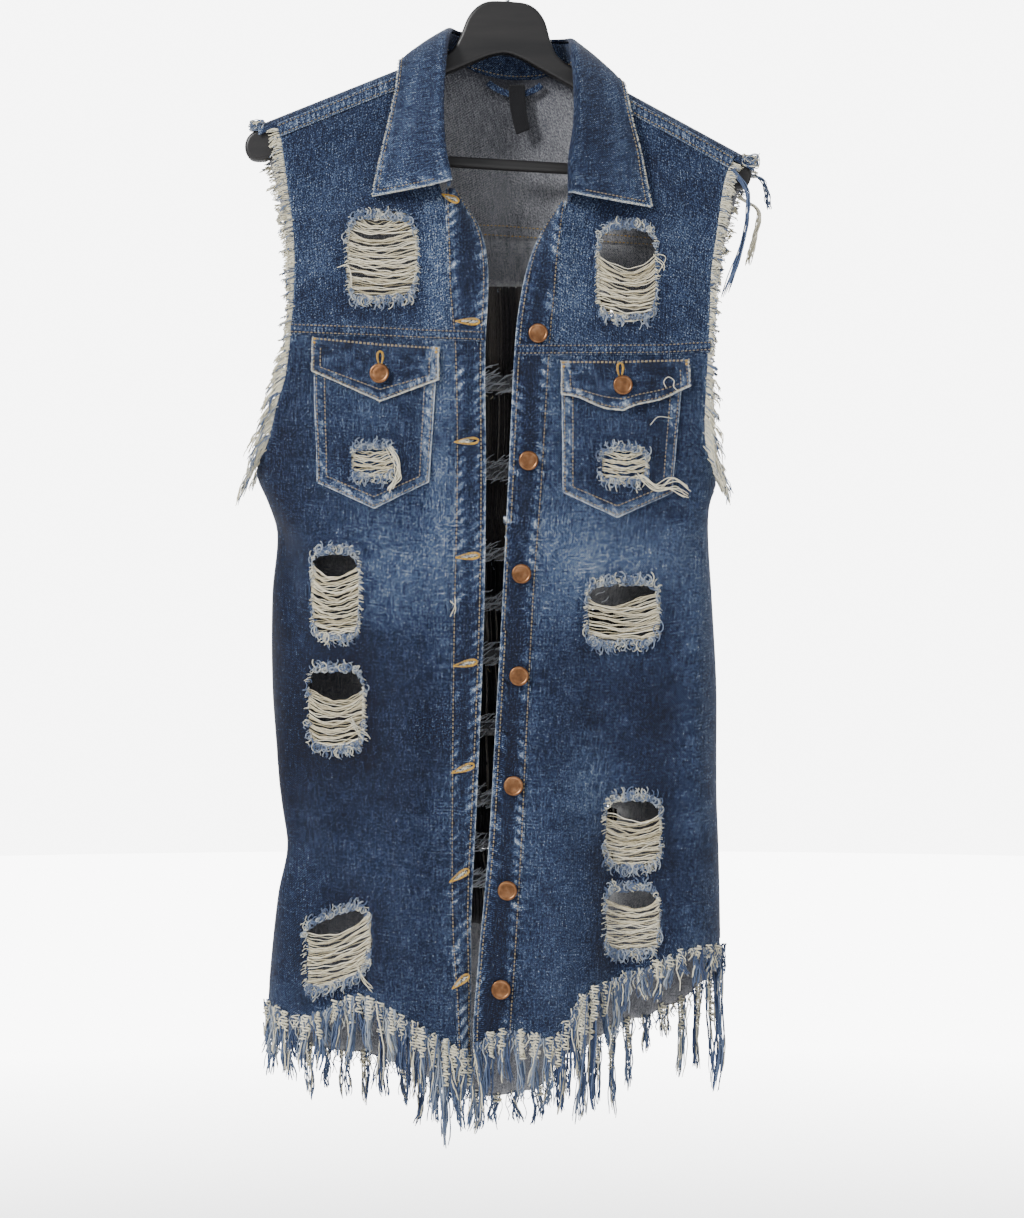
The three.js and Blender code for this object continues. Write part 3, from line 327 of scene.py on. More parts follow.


# Soft creases, listed one by one: from one place to another, with a width and a height

creaseRows = [  # face, x, drop, x, drop, width, height
    (-1, -96, 150, -178, 196, 13, 1.6), (-1, -118, 236, -178, 330, 12, 1.7), (-1, -80, 246, -66, 348, 8, -1.2),
    (-1, -150, 214, -186, 262, 9, -1.1), (-1, -176, 352, -70, 344, 6, 0.8), (-1, -208, 470, -148, 566, 13, 2.3),
    (-1, -204, 512, -172, 640, 11, -1.9), (-1, -186, 590, -192, 912, 12, 2.4), (-1, -76, 530, -88, 760, 14, 1.9),
    (-1, -110, 748, -96, 934, 11, -1.7), (-1, -134, 516, -112, 650, 16, 1.5), (-1, -62, 650, -70, 830, 8, -1.3),
    (-1, -170, 760, -120, 840, 12, 1.3), (-1, 84, 150, 166, 196, 13, 1.5), (-1, 118, 244, 164, 338, 12, 1.7),
    (-1, 70, 244, 60, 352, 8, -1.2), (-1, 150, 226, 172, 280, 8, -1.0), (-1, 172, 486, 138, 566, 12, 2.1),
    (-1, 165, 520, 160, 780, 10, 2.1), (-1, 58, 530, 64, 720, 13, 1.7), (-1, 38, 760, 46, 950, 11, 1.6),
    (-1, 140, 650, 150, 880, 11, -1.7), (-1, 98, 560, 122, 668, 14, -1.3), (-1, 30, 560, 24, 740, 8, 1.1),
    (-1, 122, 700, 96, 800, 10, 1.2), (-1, 70, 850, 110, 900, 9, 1.0),
    (1, -90, 150, -190, 210, 14, 1.6), (1, 80, 160, 180, 220, 14, 1.6), (1, -60, 180, -40, 262, 12, 1.4),
    (1, 60, 190, 30, 262, 12, 1.4), (1, -200, 330, -130, 430, 13, 2.0), (1, 176, 350, 110, 450, 13, 2.0),
    (1, -206, 480, -150, 600, 13, 2.2), (1, 170, 500, 140, 660, 12, 2.0), (1, -186, 640, -180, 900, 12, 2.3),
    (1, 150, 690, 156, 900, 11, 2.2), (1, -80, 880, -60, 1010, 12, 1.6), (1, 10, 890, 30, 1010, 12, 1.6),
]


def relief(x, z, face):
    # each crease is a soft ridge or trough about its line, faded in and out; soft noise on top
    total = 0.8 * softNoise(x + 400, z, 46, 5 + face) + 0.4 * softNoise(x + 400, z, 19, 8 + face)
    total = total + 0.14 * softNoise(x + 400, z, 7, 11 + face)
    for which, x0, drop0, x1, drop1, width, height in creaseRows:
        if which == face:
            runX, runZ = x1 - x0, drop0 - drop1
            long = runX**2 + runZ**2
            t = ((x - x0) * runX + (z + drop0) * runZ) / long
            off = ((x - x0) * runZ - (z + drop0) * runX) / math.sqrt(long)
            bend = off - 5 * np.sin(np.pi * np.clip(t, 0, 1)) - 2 * softNoise(t * 4, x0, 1, 3)
            total = total + height * bell(bend, width) * ramp(t / 0.3 + 0.2) * ramp((1 - t) / 0.3 + 0.2)
    return 1.7 * total * ramp((1 - np.abs(sideShare(x, z))) / 0.03 + 0.15)


def pucker(along, across, wave, reach, seed):
    # rounded bumps along a seam, uneven in size, fading out to both sides of it
    drift = 1.6 * softNoise(along, 7, 3 * wave, seed)
    bump = 0.5 + 0.5 * np.sin(2 * np.pi * along / wave + 2 * drift)
    bump = 0.72 * bump + 0.28 * (0.5 + 0.5 * softNoise(along, across, wave / 3, seed + 2))
    uneven = 0.6 + 0.4 * softNoise(along, across, 1.6 * wave, seed + 1)
    return bump * uneven * bell(across, reach)


# Wash and painted shade: how faded the indigo is, from 0, raw, to 1, bleached; darker strips at the sides are
# painted shade where the cloth turns away

washAndShadeRows = [  # face, x, drop, half width, half height, amount
    (-1, -112, 282, 62, 56, 0.15), (-1, -70, 300, 15, 70, 0.2), (-1, -170, 270, 24, 70, 0.06),
    (-1, -63, 470, 13, 130, 0.2), (-1, -110, 556, 76, 48, 0.25), (-1, -122, 436, 40, 46, 0.17),
    (-1, -130, 712, 90, 84, -0.17), (-1, -96, 850, 60, 66, 0.0), (-1, -150, 960, 60, 40, 0.02),
    (-1, 60, 300, 20, 66, 0.24), (-1, 124, 284, 40, 62, 0.2), (-1, 34, 470, 12, 130, 0.05),
    (-1, 94, 452, 40, 40, 0.12), (-1, 88, 566, 62, 50, 0.3), (-1, 58, 540, 26, 70, 0.1),
    (-1, 76, 752, 22, 42, 0.24), (-1, 52, 850, 26, 80, 0.03), (-1, 112, 690, 66, 54, -0.11),
    # the first row below, at x -206, is a darker strip of painted shade where the left front's side turns away
    (-1, -206, 640, 24, 220, -0.23), (-1, 164, 600, 20, 220, 0.12), (-1, 20, 700, 12, 150, 0.04),
    (1, -100, 210, 70, 60, 0.22), (1, 90, 215, 70, 60, 0.22), (1, -20, 480, 110, 190, 0.24),
    (1, -110, 700, 50, 160, 0.10), (1, 100, 700, 50, 160, 0.10), (1, 0, 900, 90, 80, 0.12),
    # the two rows below are darker strips of painted shade where the back's sides turn away
    (1, -190, 700, 24, 220, -0.12), (1, 160, 700, 22, 220, -0.12),
]


def washAndShade(x, z, face, base):
    total = base - 0.1 + 0.06 * softNoise(x + 300, z, 30, 21) + 0.03 * softNoise(x + 300, z, 9, 22)
    for which, x0, drop, wide, tall, amount in washAndShadeRows:
        if which == face:
            total = total + amount * np.exp(-(((x - x0) / wide) ** 2) - ((z + drop) / tall) ** 2)
    return total


# Materials


def srgb(r, g, b):
    c = np.array([r, g, b]) / 255
    return (*np.where(c <= 0.04045, c / 12.92, ((c + 0.055) / 1.055) ** 2.4), 1)


def addNode(tree, kind, inputs=None, **settings):
    made = tree.nodes.new(kind)
    made.location = (190 * len(tree.nodes), 0)
    for name, value in settings.items():
        setattr(made, name, value)
    for name, value in (inputs or {}).items():
        if isinstance(value, bpy.types.NodeSocket):
            tree.links.new(value, made.inputs[name])
        else:
            made.inputs[name].default_value = value
    return made


def addMath(tree, operation, a, b=0.5):
    made = addNode(tree, "ShaderNodeMath", {0: a, 1: b}, operation=operation)
    return made.outputs[0]


def addRamp(tree, factor, stops):
    made = addNode(tree, "ShaderNodeValToRGB", {"Fac": factor})
    points = made.color_ramp.elements
    while len(points) < len(stops):
        points.new(0.5)
    for point, (place, color) in zip(points, stops):
        point.position = place
        point.color = srgb(*color)
    return made.outputs["Color"]


def stretched(tree, vector, by):
    made = addNode(tree, "ShaderNodeVectorMath", {0: vector, 1: by}, operation="MULTIPLY")
    return made.outputs[0]


def twillGroup():
    # Shade: warp slubs, weft streaks and grain about zero. Height: the diagonal ridges and the slubs.
    tree = bpy.data.node_groups.new("indigoTwill", "ShaderNodeTree")
    tree.interface.new_socket("Cloth", in_out="INPUT", socket_type="NodeSocketVector")
    tree.interface.new_socket("Streaks", in_out="INPUT", socket_type="NodeSocketFloat")
    tree.interface.new_socket("Grain", in_out="INPUT", socket_type="NodeSocketFloat")
    tree.interface.new_socket("Shade", in_out="OUTPUT", socket_type="NodeSocketFloat")
    tree.interface.new_socket("Height", in_out="OUTPUT", socket_type="NodeSocketFloat")
    given = addNode(tree, "NodeGroupInput")
    result = addNode(tree, "NodeGroupOutput")
    cloth = stretched(tree, given.outputs["Cloth"], (1000, 1000, 0))

    def noise(by, detail):
        vector = stretched(tree, cloth, by)
        settings = {"Vector": vector, "Scale": 1, "Detail": detail}
        return addNode(tree, "ShaderNodeTexNoise", settings).outputs["Fac"]

    warp = noise((0.85, 0.07, 0), 3)
    weft = noise((0.055, 0.7, 0), 2)
    grain = noise((1.05, 0.7, 0), 3)
    twill = addNode(
        tree, "ShaderNodeTexWave", {"Vector": cloth, "Scale": 0.36},
        wave_type="BANDS", bands_direction="DIAGONAL",
    ).outputs["Fac"]

    def centred(value, weight):
        return addMath(tree, "MULTIPLY", addMath(tree, "SUBTRACT", value), weight)

    streaks = addMath(tree, "ADD", addMath(tree, "SUBTRACT", warp), centred(weft, 0.45))
    specks = addMath(tree, "ADD", addMath(tree, "SUBTRACT", grain), centred(twill, 0.22))
    shade = addMath(
        tree,
        "ADD",
        addMath(tree, "MULTIPLY", streaks, given.outputs["Streaks"]),
        addMath(tree, "MULTIPLY", specks, given.outputs["Grain"]),
    )
    # pale weft flecks: the highest peaks of a fine noise
    peaks = addMath(tree, "SUBTRACT", noise((1.35, 0.9, 0.0), 2), 0.59)
    fleck = addMath(tree, "MULTIPLY", addMath(tree, "MAXIMUM", peaks, 0.0), 1.3)
    shade = addMath(tree, "ADD", shade, addMath(tree, "MULTIPLY", fleck, given.outputs["Grain"]))
    height = addMath(tree, "ADD", addMath(tree, "MULTIPLY", twill, 0.5), warp)
    tree.links.new(shade, result.inputs["Shade"])
    tree.links.new(height, result.inputs["Height"])
    return tree


twill = twillGroup()

indigoStops = [
    (0.0, (5, 9, 26)), (0.18, (13, 27, 58)), (0.36, (41, 57, 89)), (0.55, (76, 95, 125)),
    (0.75, (126, 144, 165)), (1.0, (216, 219, 218)),
]
insideStops = [(0.0, (56, 57, 64)), (0.2, (108, 109, 114)), (0.5, (160, 160, 162)), (1.0, (222, 222, 220))]
yarnStops = [
    (0.0, (26, 34, 58)), (0.25, (52, 66, 98)), (0.5, (98, 114, 142)), (0.7, (164, 172, 180)),
    (0.84, (222, 214, 184)), (1.0, (250, 243, 220)),
]
threadStops = [
    (0.0, (62, 54, 42)), (0.4, (138, 126, 104)), (0.66, (166, 146, 106)),
    (0.85, (196, 150, 56)), (1.0, (226, 176, 64)),
]


def newMaterial(name):
    made = bpy.data.materials.new(name)
    made.use_nodes = True
    return made, made.node_tree, made.node_tree.nodes["Principled BSDF"]


def clothMaterial(name, stops, streaks, grain, sheen):
    made, tree, shader = newMaterial(name)
    place = addNode(tree, "ShaderNodeUVMap", uv_map="cloth").outputs["UV"]
    weave = addNode(tree, "ShaderNodeGroup", node_tree=twill)
    tree.links.new(place, weave.inputs["Cloth"])
    weave.inputs["Streaks"].default_value = streaks
    weave.inputs["Grain"].default_value = grain
    # this attribute holds how faded the cloth is, plus painted shade in stitched grooves, round tears and at the
    # sides, and a painted highlight along the collar
    fadeAndShade = addNode(tree, "ShaderNodeAttribute", attribute_name="fadeAndShade").outputs["Fac"]
    value = addMath(tree, "ADD", fadeAndShade, weave.outputs["Shade"])
    tree.links.new(addRamp(tree, value, stops), shader.inputs["Base Color"])
    rough = addMath(tree, "ADD", addMath(tree, "MULTIPLY", fadeAndShade, 0.14), 0.8)
    tree.links.new(rough, shader.inputs["Roughness"])
    height = weave.outputs["Height"]
    bump = addNode(tree, "ShaderNodeBump", {"Height": height, "Strength": 0.6, "Distance": 0.0009})
    tree.links.new(bump.outputs["Normal"], shader.inputs["Normal"])
    shader.inputs["Specular IOR Level"].default_value = 0.22
    shader.inputs["Sheen Weight"].default_value = sheen
    shader.inputs["Sheen Roughness"].default_value = 0.5
    return made


def yarnMaterial(name, stops, spread):
    made, tree, shader = newMaterial(name)
    place = addNode(tree, "ShaderNodeTexCoord").outputs["Object"]
    noise = addNode(tree, "ShaderNodeTexNoise", {"Vector": place, "Scale": 900, "Detail": 1}).outputs["Fac"]
    tint = addNode(tree, "ShaderNodeAttribute", attribute_name="tint").outputs["Fac"]
    shift = addMath(tree, "MULTIPLY", addMath(tree, "SUBTRACT", noise), spread)
    tree.links.new(addRamp(tree, addMath(tree, "ADD", tint, shift), stops), shader.inputs["Base Color"])
    bump = addNode(tree, "ShaderNodeBump", {"Height": noise, "Strength": 0.4, "Distance": 0.0003})
    tree.links.new(bump.outputs["Normal"], shader.inputs["Normal"])
    shader.inputs["Roughness"].default_value = 0.92
    shader.inputs["Specular IOR Level"].default_value = 0.15
    shader.inputs["Sheen Weight"].default_value = 0.25
    return made


def hardMaterial(name, stops, scale, stretch, metal, rough, roughSpread, bumpDepth):
    # a finish with soft mottling: colour and roughness both follow one stretched noise
    made, tree, shader = newMaterial(name)
    place = stretched(tree, addNode(tree, "ShaderNodeTexCoord").outputs["Object"], stretch)
    noise = addNode(tree, "ShaderNodeTexNoise", {"Vector": place, "Scale": scale, "Detail": 4}).outputs["Fac"]
    tree.links.new(addRamp(tree, noise, stops), shader.inputs["Base Color"])
    gloss = addMath(tree, "ADD", addMath(tree, "MULTIPLY", noise, roughSpread), rough - roughSpread / 2)
    tree.links.new(gloss, shader.inputs["Roughness"])
    bump = addNode(tree, "ShaderNodeBump", {"Height": noise, "Strength": 0.3, "Distance": bumpDepth})
    tree.links.new(bump.outputs["Normal"], shader.inputs["Normal"])
    shader.inputs["Metallic"].default_value = metal
    return made


denim = clothMaterial("washedDenim", indigoStops, 0.95, 2.1, 0.1)
denimInside = clothMaterial("denimReverse", insideStops, 0.5, 1.1, 0.1)
creamStops = [(0.0, (74, 64, 48)), (0.35, (150, 136, 104)), (0.7, (214, 202, 168)), (1.0, (250, 243, 220))]
creamWeft = yarnMaterial("creamWeft", creamStops, 0.5)
looseYarn = yarnMaterial("looseCotton", yarnStops, 0.16)
# near black to grey-brown: painted shade for the curtain of yarns in the back's slashes
shadeStops = [(0.0, (12, 13, 19)), (0.35, (40, 38, 40)), (0.7, (92, 87, 82)), (1.0, (196, 192, 182))]
shadeYarn = yarnMaterial("paintedShadeCotton", shadeStops, 0.2)
bleachedYarn = yarnMaterial("bleachedCotton", [(0.0, (150, 160, 176)), (1.0, (250, 252, 255))], 0.3)
topThread = yarnMaterial("goldTopstitch", threadStops, 0.3)
ribbonStops = [(0.0, (8, 8, 10)), (0.5, (18, 18, 21)), (1.0, (44, 44, 48))]
ribbonCloth = clothMaterial("blackRibbon", ribbonStops, 0.3, 0.2, 0.2)
copper = hardMaterial(
    "wornCopper", [(0.2, (92, 62, 43)), (0.5, (140, 98, 66)), (0.8, (180, 134, 98))],
    160, (1, 1, 1), 1.0, 0.36, 0.12, 0.00003,
)
blackWood = hardMaterial(
    "satinBlackWood", [(0.3, (17, 16, 16)), (0.6, (27, 25, 24)), (0.85, (38, 35, 33))],
    90, (0.12, 1, 1), 0.0, 0.42, 0.16, 0.0003,
)
steelWire = hardMaterial(
    "platedWire", [(0.3, (150, 152, 156)), (0.7, (188, 190, 193))], 300, (1, 1, 1), 1.0, 0.26, 0.1, 0.0001
)
print("materials ready")

addCamera()
addLamps()
addFloor()
print("studio ready")

# Cloth pieces

cutSizes = []  # name, width and length in metres, area, printed at the end
extras = {}  # name of a cloth piece: what is sewn to it or frays from it


def addObject(name, mesh, slotName, *nodes):
    piece = bpy.data.objects.new("fine_" + name, mesh)
    bpy.context.collection.objects.link(piece)
    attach(piece, body)
    if nodes:
        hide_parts(*nodes)
    return piece


def newMesh(name, points, faces, materials):
    mesh = bpy.data.meshes.new(name)
    mesh.from_pydata((points * mm).tolist(), [], faces.tolist() if hasattr(faces, "tolist") else faces)
    mesh.polygons.foreach_set("use_smooth", np.ones(len(mesh.polygons), bool))
    for material in materials:
        mesh.materials.append(material)
    return mesh


def addAttribute(mesh, name, values):
    values = np.asarray(values, np.float32).ravel()
    mesh.attributes.new(name, "FLOAT", "POINT").data.foreach_set("value", values)


def edgedSteps(count, near=0.012):
    # even steps from 0 to 1 with two closer ones beside each end
    inner = np.linspace(0, 1, count)[1:-1]
    inner = inner[(inner > 3.6 * near) & (inner < 1 - 3.6 * near)]
    return np.concatenate([[0, near, 2.4 * near], inner, [1 - 2.4 * near, 1 - near, 1]])


def gridNormals(points, outward):
    across, down = np.gradient(points, axis=1), np.gradient(points, axis=0)
    normals = unit(np.cross(across, down))
    middle = normals[len(points) // 2, points.shape[1] // 2]
    return normals if middle @ np.array(outward) > 0 else -normals


def skinOf(points, outward, lift):
    # the outer surface of a wall: a grid moved out along its own normals
    normals = gridNormals(points, outward)
    lift = np.asarray(lift, float)
    return {"points": points + normals * (lift[..., None] if lift.ndim else lift), "normals": normals}


def runLengths(points, axis):
    steps = np.linalg.norm(np.diff(points, axis=axis), axis=-1)
    start = np.zeros_like(np.take(points[..., 0], [0], axis=axis))
    return np.concatenate([start, np.cumsum(steps, axis=axis)], axis=axis)


def addUv(mesh, uv):
    # each face corner takes its vertex's place on the cloth
    corner = np.empty(len(mesh.loops), np.int32)
    mesh.loops.foreach_get("vertex_index", corner)
    mesh.uv_layers.new(name="cloth").data.foreach_set("uv", uv[corner].astype(np.float32).ravel())


def addCloth(name, skin, thick, fadeAndShade, torn=None, inside=None, material=None, slotName="denim"):
    # torn is a field in mm that is negative where the cloth is gone; points inside it slide to its edge
    points, normals = skin["points"].copy(), skin["normals"]
    wide, long = runLengths(points, 1), runLengths(points, 0)
    uv = np.stack([wide, -long], axis=-1) * mm
    across, down = np.gradient(points, axis=1), np.gradient(points, axis=0)
    cellArea = np.linalg.norm(np.cross(across, down), axis=-1)[:-1, :-1].sum()
    cutSizes.append((name, wide.max() * mm, long.max() * mm, cellArea * mm * mm))
    rows, columns = points.shape[:2]
    keep = np.ones((rows - 1, columns - 1), bool)
    fadeAndShade = np.broadcast_to(fadeAndShade, (rows, columns)).copy()
    if torn is not None:
        slopeU, slopeV = np.gradient(torn, axis=1), np.gradient(torn, axis=0)
        steep = slopeU**2 + slopeV**2 + 1e-9
        inHole = torn < 0
        stepU = np.clip(-torn * slopeU / steep, -1.5, 1.5) * inHole
        stepV = np.clip(-torn * slopeV / steep, -1.5, 1.5) * inHole
        points += across * stepU[..., None] + down * stepV[..., None]
        uvAcross, uvDown = np.gradient(uv, axis=1), np.gradient(uv, axis=0)
        uv = uv + uvAcross * stepU[..., None] + uvDown * stepV[..., None]
        # a pale frayed edge round each tear, which is wear, and a wider darker band about it, which is painted
        # shade under the curled ends
        fadeAndShade += 0.4 * np.exp(-np.maximum(torn, 0) / 1.2) - 0.26 * np.exp(-np.maximum(torn, 0) / 8)
        corners = np.stack([torn[:-1, :-1], torn[1:, :-1], torn[:-1, 1:], torn[1:, 1:]])
        keep = corners.max(axis=0) > 0.05
    index = np.arange(rows * columns).reshape(rows, columns)
    quads = np.stack([index[:-1, :-1], index[:-1, 1:], index[1:, 1:], index[1:, :-1]], axis=-1)[keep]
    turned = np.cross(across, down)[rows // 2, columns // 2] @ normals[rows // 2, columns // 2] < 0
    if turned:
        quads = quads[:, ::-1]
    used, quads = np.unique(quads, return_inverse=True)
    quads = quads.reshape(-1, 4)
    mesh = newMesh(name, points.reshape(-1, 3)[used], quads, [material or denim, inside or denimInside])
    addAttribute(mesh, "fadeAndShade", fadeAndShade.reshape(-1)[used])
    addUv(mesh, uv.reshape(-1, 2)[used])
    piece = addObject(name, mesh, slotName, name)
    wall = piece.modifiers.new("thickness", "SOLIDIFY")
    wall.thickness = thick * mm
    wall.offset = -1
    wall.material_offset = 1
    return piece


def rowsBetween(face, top, bottom, xFrom, xTo, rowCount, columnCount):
    # rows of points at even runs along the cloth, between two edges, from a top line to a bottom line
    share = np.linspace(0, 1, columnCount)
    place = 0.5 - 0.5 * np.cos(np.pi * np.linspace(0, 1, 4 * columnCount))
    out = np.empty((rowCount, columnCount, 3))
    middle = (xFrom(-450.0) + xTo(-450.0)) / 2
    x = np.broadcast_to(np.linspace(xFrom(-450.0), xTo(-450.0), columnCount), (rowCount, columnCount))
    down = np.linspace(0, 1, rowCount)[:, None]
    z = lerp(top(middle), bottom(middle), down) + 0 * x
    for turn in range(4):
        for r in range(rowCount):
            height = float(np.mean(z[r]))
            first = np.interp(place, share, z[r])
            fine = lerp(xFrom(z[r, 0]), xTo(z[r, -1]), place)
            line = stack(fine, clothDepth(fine, first, face), height)
            run = runLengths(line[None], 1)[0]
            out[r, :, 0] = np.interp(share * run[-1], run, fine)
        x = out[..., 0]
        z = lerp(top(x), bottom(x), down)
    return stack(x, clothDepth(x, z, face), z)


# Torn windows and slits

ripRows = [  # name, panel, x, drop, half width, half height, gap under the top edge, slant
    ("rip_left_chest", "yoke_front_left", -112, 293, 30, 38, 0, 0),
    ("rip_left_pocket", "pocket_left", -119, 469, 18, 15, 6, 0),
    ("rip_left_waist", "front_left", -151, 583, 21, 39, 12, 0),
    ("rip_left_hip", "front_left", -151, 681, 24, 36, 19, 0),
    ("rip_left_thigh", "front_left", -150, 888, 28, 33, 10, 0.32),
    ("rip_right_chest", "yoke_front_right", 99.5, 305, 25.5, 42, 25, 0),
    ("rip_right_pocket", "pocket_right", 95.5, 472, 20, 16, 0, 0),
    ("rip_right_waist", "front_right", 94.5, 599, 31, 28, 11, 0),
    ("rip_right_hip", "front_right", 103.5, 788, 24.5, 32, 15, 0),
    ("rip_right_thigh", "front_right", 102, 863.5, 24, 29.5, 9, 0),
]
slitRows = [  # top, bottom, half width of each slash across the back
    (299, 381, 96), (394, 459, 104), (471, 537, 108), (548, 581, 110), (592, 626, 110),
    (638, 690, 108), (702, 755, 106), (767, 797, 104), (808, 827, 100), (838, 873, 96),
]
slitCentre = -8
ripPower = 2 / 0.45


def ripField(x, z, rip):
    # a rounded box |u|^p + |v|^p = 1 with a wavy outline, in mm outside its edge
    name, panel, x0, drop, wide, tall, gap, slant = rip
    u, v = (x - x0) / wide, (z + drop - slant * (x - x0)) / tall
    turn = np.arctan2(np.sign(v) * np.abs(v) ** (ripPower / 2), np.sign(u) * np.abs(u) ** (ripPower / 2))
    wave = 1 + 0.05 * np.sin(3 * turn + drop) + 0.04 * np.sin(5 * turn + x0)
    wave = wave + 0.045 * softNoise(x + 300, z, 5, 31)
    size = (np.abs(u) ** ripPower + np.abs(v) ** ripPower) ** (1 / ripPower)
    return (size / wave - 1) * min(wide, tall)


def tornField(x, z, panel):
    fields = [ripField(x, z, rip) for rip in ripRows if rip[1] == panel]
    return np.minimum.reduce(fields) if fields else None


def slitField(x, z):
    # each slash is an oval that sags between its ends, with a frayed edge
    fields = []
    for top, bottom, wide in slitRows:
        middle, rise = (top + bottom) / 2, (bottom - top) / 2
        u = (x - slitCentre) / wide
        sag = 0.35 * rise * (1 - np.minimum(u * u, 1)) - 0.2 * rise
        v = (z + middle + sag) / (0.86 * rise)
        size = np.sqrt(u * u + np.abs(v) ** 2.5)
        fields.append((size - 1 - 0.05 * softNoise(x + 300, z, 6, 32)) * rise)
    return np.minimum.reduce(fields)


# Panels

laps = {  # mm by which neighbouring pieces lap, so that no light shows through a seam
    "placket": 1.6,
    "backYoke": 0.4,
    "side": 3.4,
    "sideReach": 0.03,  # share of the half width over which the back turns under the front
}
mesh = {"front": 3.3, "back": 5.0, "placket": 2.2}
skins = {}


def armEdge(side):
    half = halves[side]
    rows = armRows[half["arm"]]
    return lambda z: np.where(z < half["foot"], half["lateral"] * 400.0, columnAt(rows, 1, -z))


def clipToSide(x, z):
    return np.clip(x, columnAt(sideRows, 1, -z), columnAt(sideRows, 2, -z))


def armX(side, z):
    return clipToSide(armEdge(side)(z), z)


def seamX(side, z):
    return columnAt(openingRows[side], 1, -z)


def edgeX(side, z):
    return columnAt(openingRows[side], 2, -z)


def neckEdge(side, z):
    half = halves[side]
    return lerp(seamX(side, z) + half["lateral"] * vest["seamGap"], half["neck"], ramp((z + 246) / 26))


def hemZ(side):
    return lambda x: -columnAt(hemRows[side], 1, x)


def nearEdges(points, reach, sides):
    # 1 on the named edges of a grid (top, bottom, first, last), falling off over the reach
    wide, long = runLengths(points, 1), runLengths(points, 0)
    away = {"first": wide, "last": wide[:, -1:] - wide, "top": long, "bottom": long[-1:] - long}
    return np.exp(-np.minimum.reduce([away[side] for side in sides]) / reach)


def shoulderLine(x):
    return crestZ(x) - vest["crestRound"] - 0.4


def frontPanel(side, upper):
    name = ("yoke_front_" if upper else "front_") + side
    half = halves[side]
    under = half["lateral"] * laps["placket"]  # the raw edge lies a little under the placket
    if upper:
        seamFrom = lambda z: neckEdge(side, z) - under * (z < -250)
    else:
        seamFrom = lambda z: seamX(side, z) - under
    top = shoulderLine if upper else (lambda x: yokeSeam(x) - 0.15)
    bottom = (lambda x: yokeSeam(x) + 0.15) if upper else hemZ(side)
    wide, tall = (150, 215) if upper else (190, 600)
    base = rowsBetween(
        -1, top, bottom, seamFrom, lambda z: armX(side, z), int(tall / mesh["front"]), int(wide / mesh["front"])
    )
    x, z = base[..., 0], base[..., 2]
    yokePucker = pucker(x, z - yokeSeam(x), 9.5, 11, 41)
    seamPucker = pucker(z, x - seamX(side, z), 10.5, 9, 43)
    bumps = yokePucker + seamPucker
    skins[name] = skinOf(base, (0, -1, 0), vest["cloth"] + relief(x, z, -1) + 0.7 * bumps)
    fadeAndShade = washAndShade(x, z, -1, 0.27) + 0.2 * bumps - 0.06
    fadeAndShade = fadeAndShade + 0.3 * nearEdges(base, 3, ["last"] + ([] if upper else ["bottom"])) * (z > half["foot"] - 30)
    if not upper:
        fadeAndShade = fadeAndShade + 0.25 * nearEdges(base, 5, ["bottom"])
    skins[name]["bumps"] = bumps
    addCloth(name, skins[name], vest["cloth"], fadeAndShade, tornField(x, z, name))


def backYoke():
    columns, arcStep = int(445 / mesh["back"]), 2.4
    share = np.linspace(0, 1, columns)
    span = (-221, 211)
    arc = vest["crestRound"] * np.pi / 2
    over = np.arange(-14.6, arc, arcStep)[:, None]
    x = lerp(*span, share)[None, :] + 0 * over
    turn = over / vest["crestRound"]
    onArm = stack(x, vest["crestRound"] * np.sin(turn), crestZ(x) - vest["crestRound"] * (1 - np.cos(turn)))
    down = np.linspace(0, 1, int(150 / mesh["back"]))[:, None]
    x = lerp(*span, share)[None, :] + 0 * down
    for _ in range(6):
        z = lerp(crestZ(x) - vest["crestRound"], backSeam(x) - laps["backYoke"], down)
        x = lerp(columnAt(armRows["backLeft"], 1, -z), columnAt(armRows["backRight"], 1, -z), share)
        x = np.where(down < 0.06, lerp(lerp(*span, share)[None, :], x, down / 0.06), x)
    z = lerp(crestZ(x) - vest["crestRound"], backSeam(x) - laps["backYoke"], down)
    base = np.concatenate([onArm, stack(x, clothDepth(x, z, 1), z)])
    x, z = base[..., 0], base[..., 2]
    behind = ramp(base[..., 1] / 9)
    neck = collarRows[5:12]
    neckZ = np.interp(x, neck[:, 1], neck[:, 3]) + 0.2
    backCut = np.where((x > neck[0, 1]) & (x < neck[-1, 1]), neckZ - z, 30.0)
    backCut = np.maximum(backCut, np.maximum(neck[0, 1] - x, x - neck[-1, 1]))
    frontCut = np.maximum(-64.5 - x, x - 58.5)
    torn = np.clip(np.where(base[..., 1] > 0, backCut, frontCut), -30, 30)
    bumps = pucker(x, z - backSeam(x), 9.5, 11, 45)
    skins["yoke_back"] = skinOf(base, (0, 1, 0), vest["cloth"] + (relief(x, z, 1) + 0.7 * bumps) * behind)
    fadeAndShade = washAndShade(x, z, 1, 0.27) + 0.2 * bumps - 0.05 + 0.3 * nearEdges(base, 3, ["first", "last"])
    fadeAndShade = fadeAndShade - 0.4 * np.exp(-np.maximum(torn, 0) / 1.6)
    addCloth("yoke_back", skins["yoke_back"], vest["cloth"], fadeAndShade, torn)


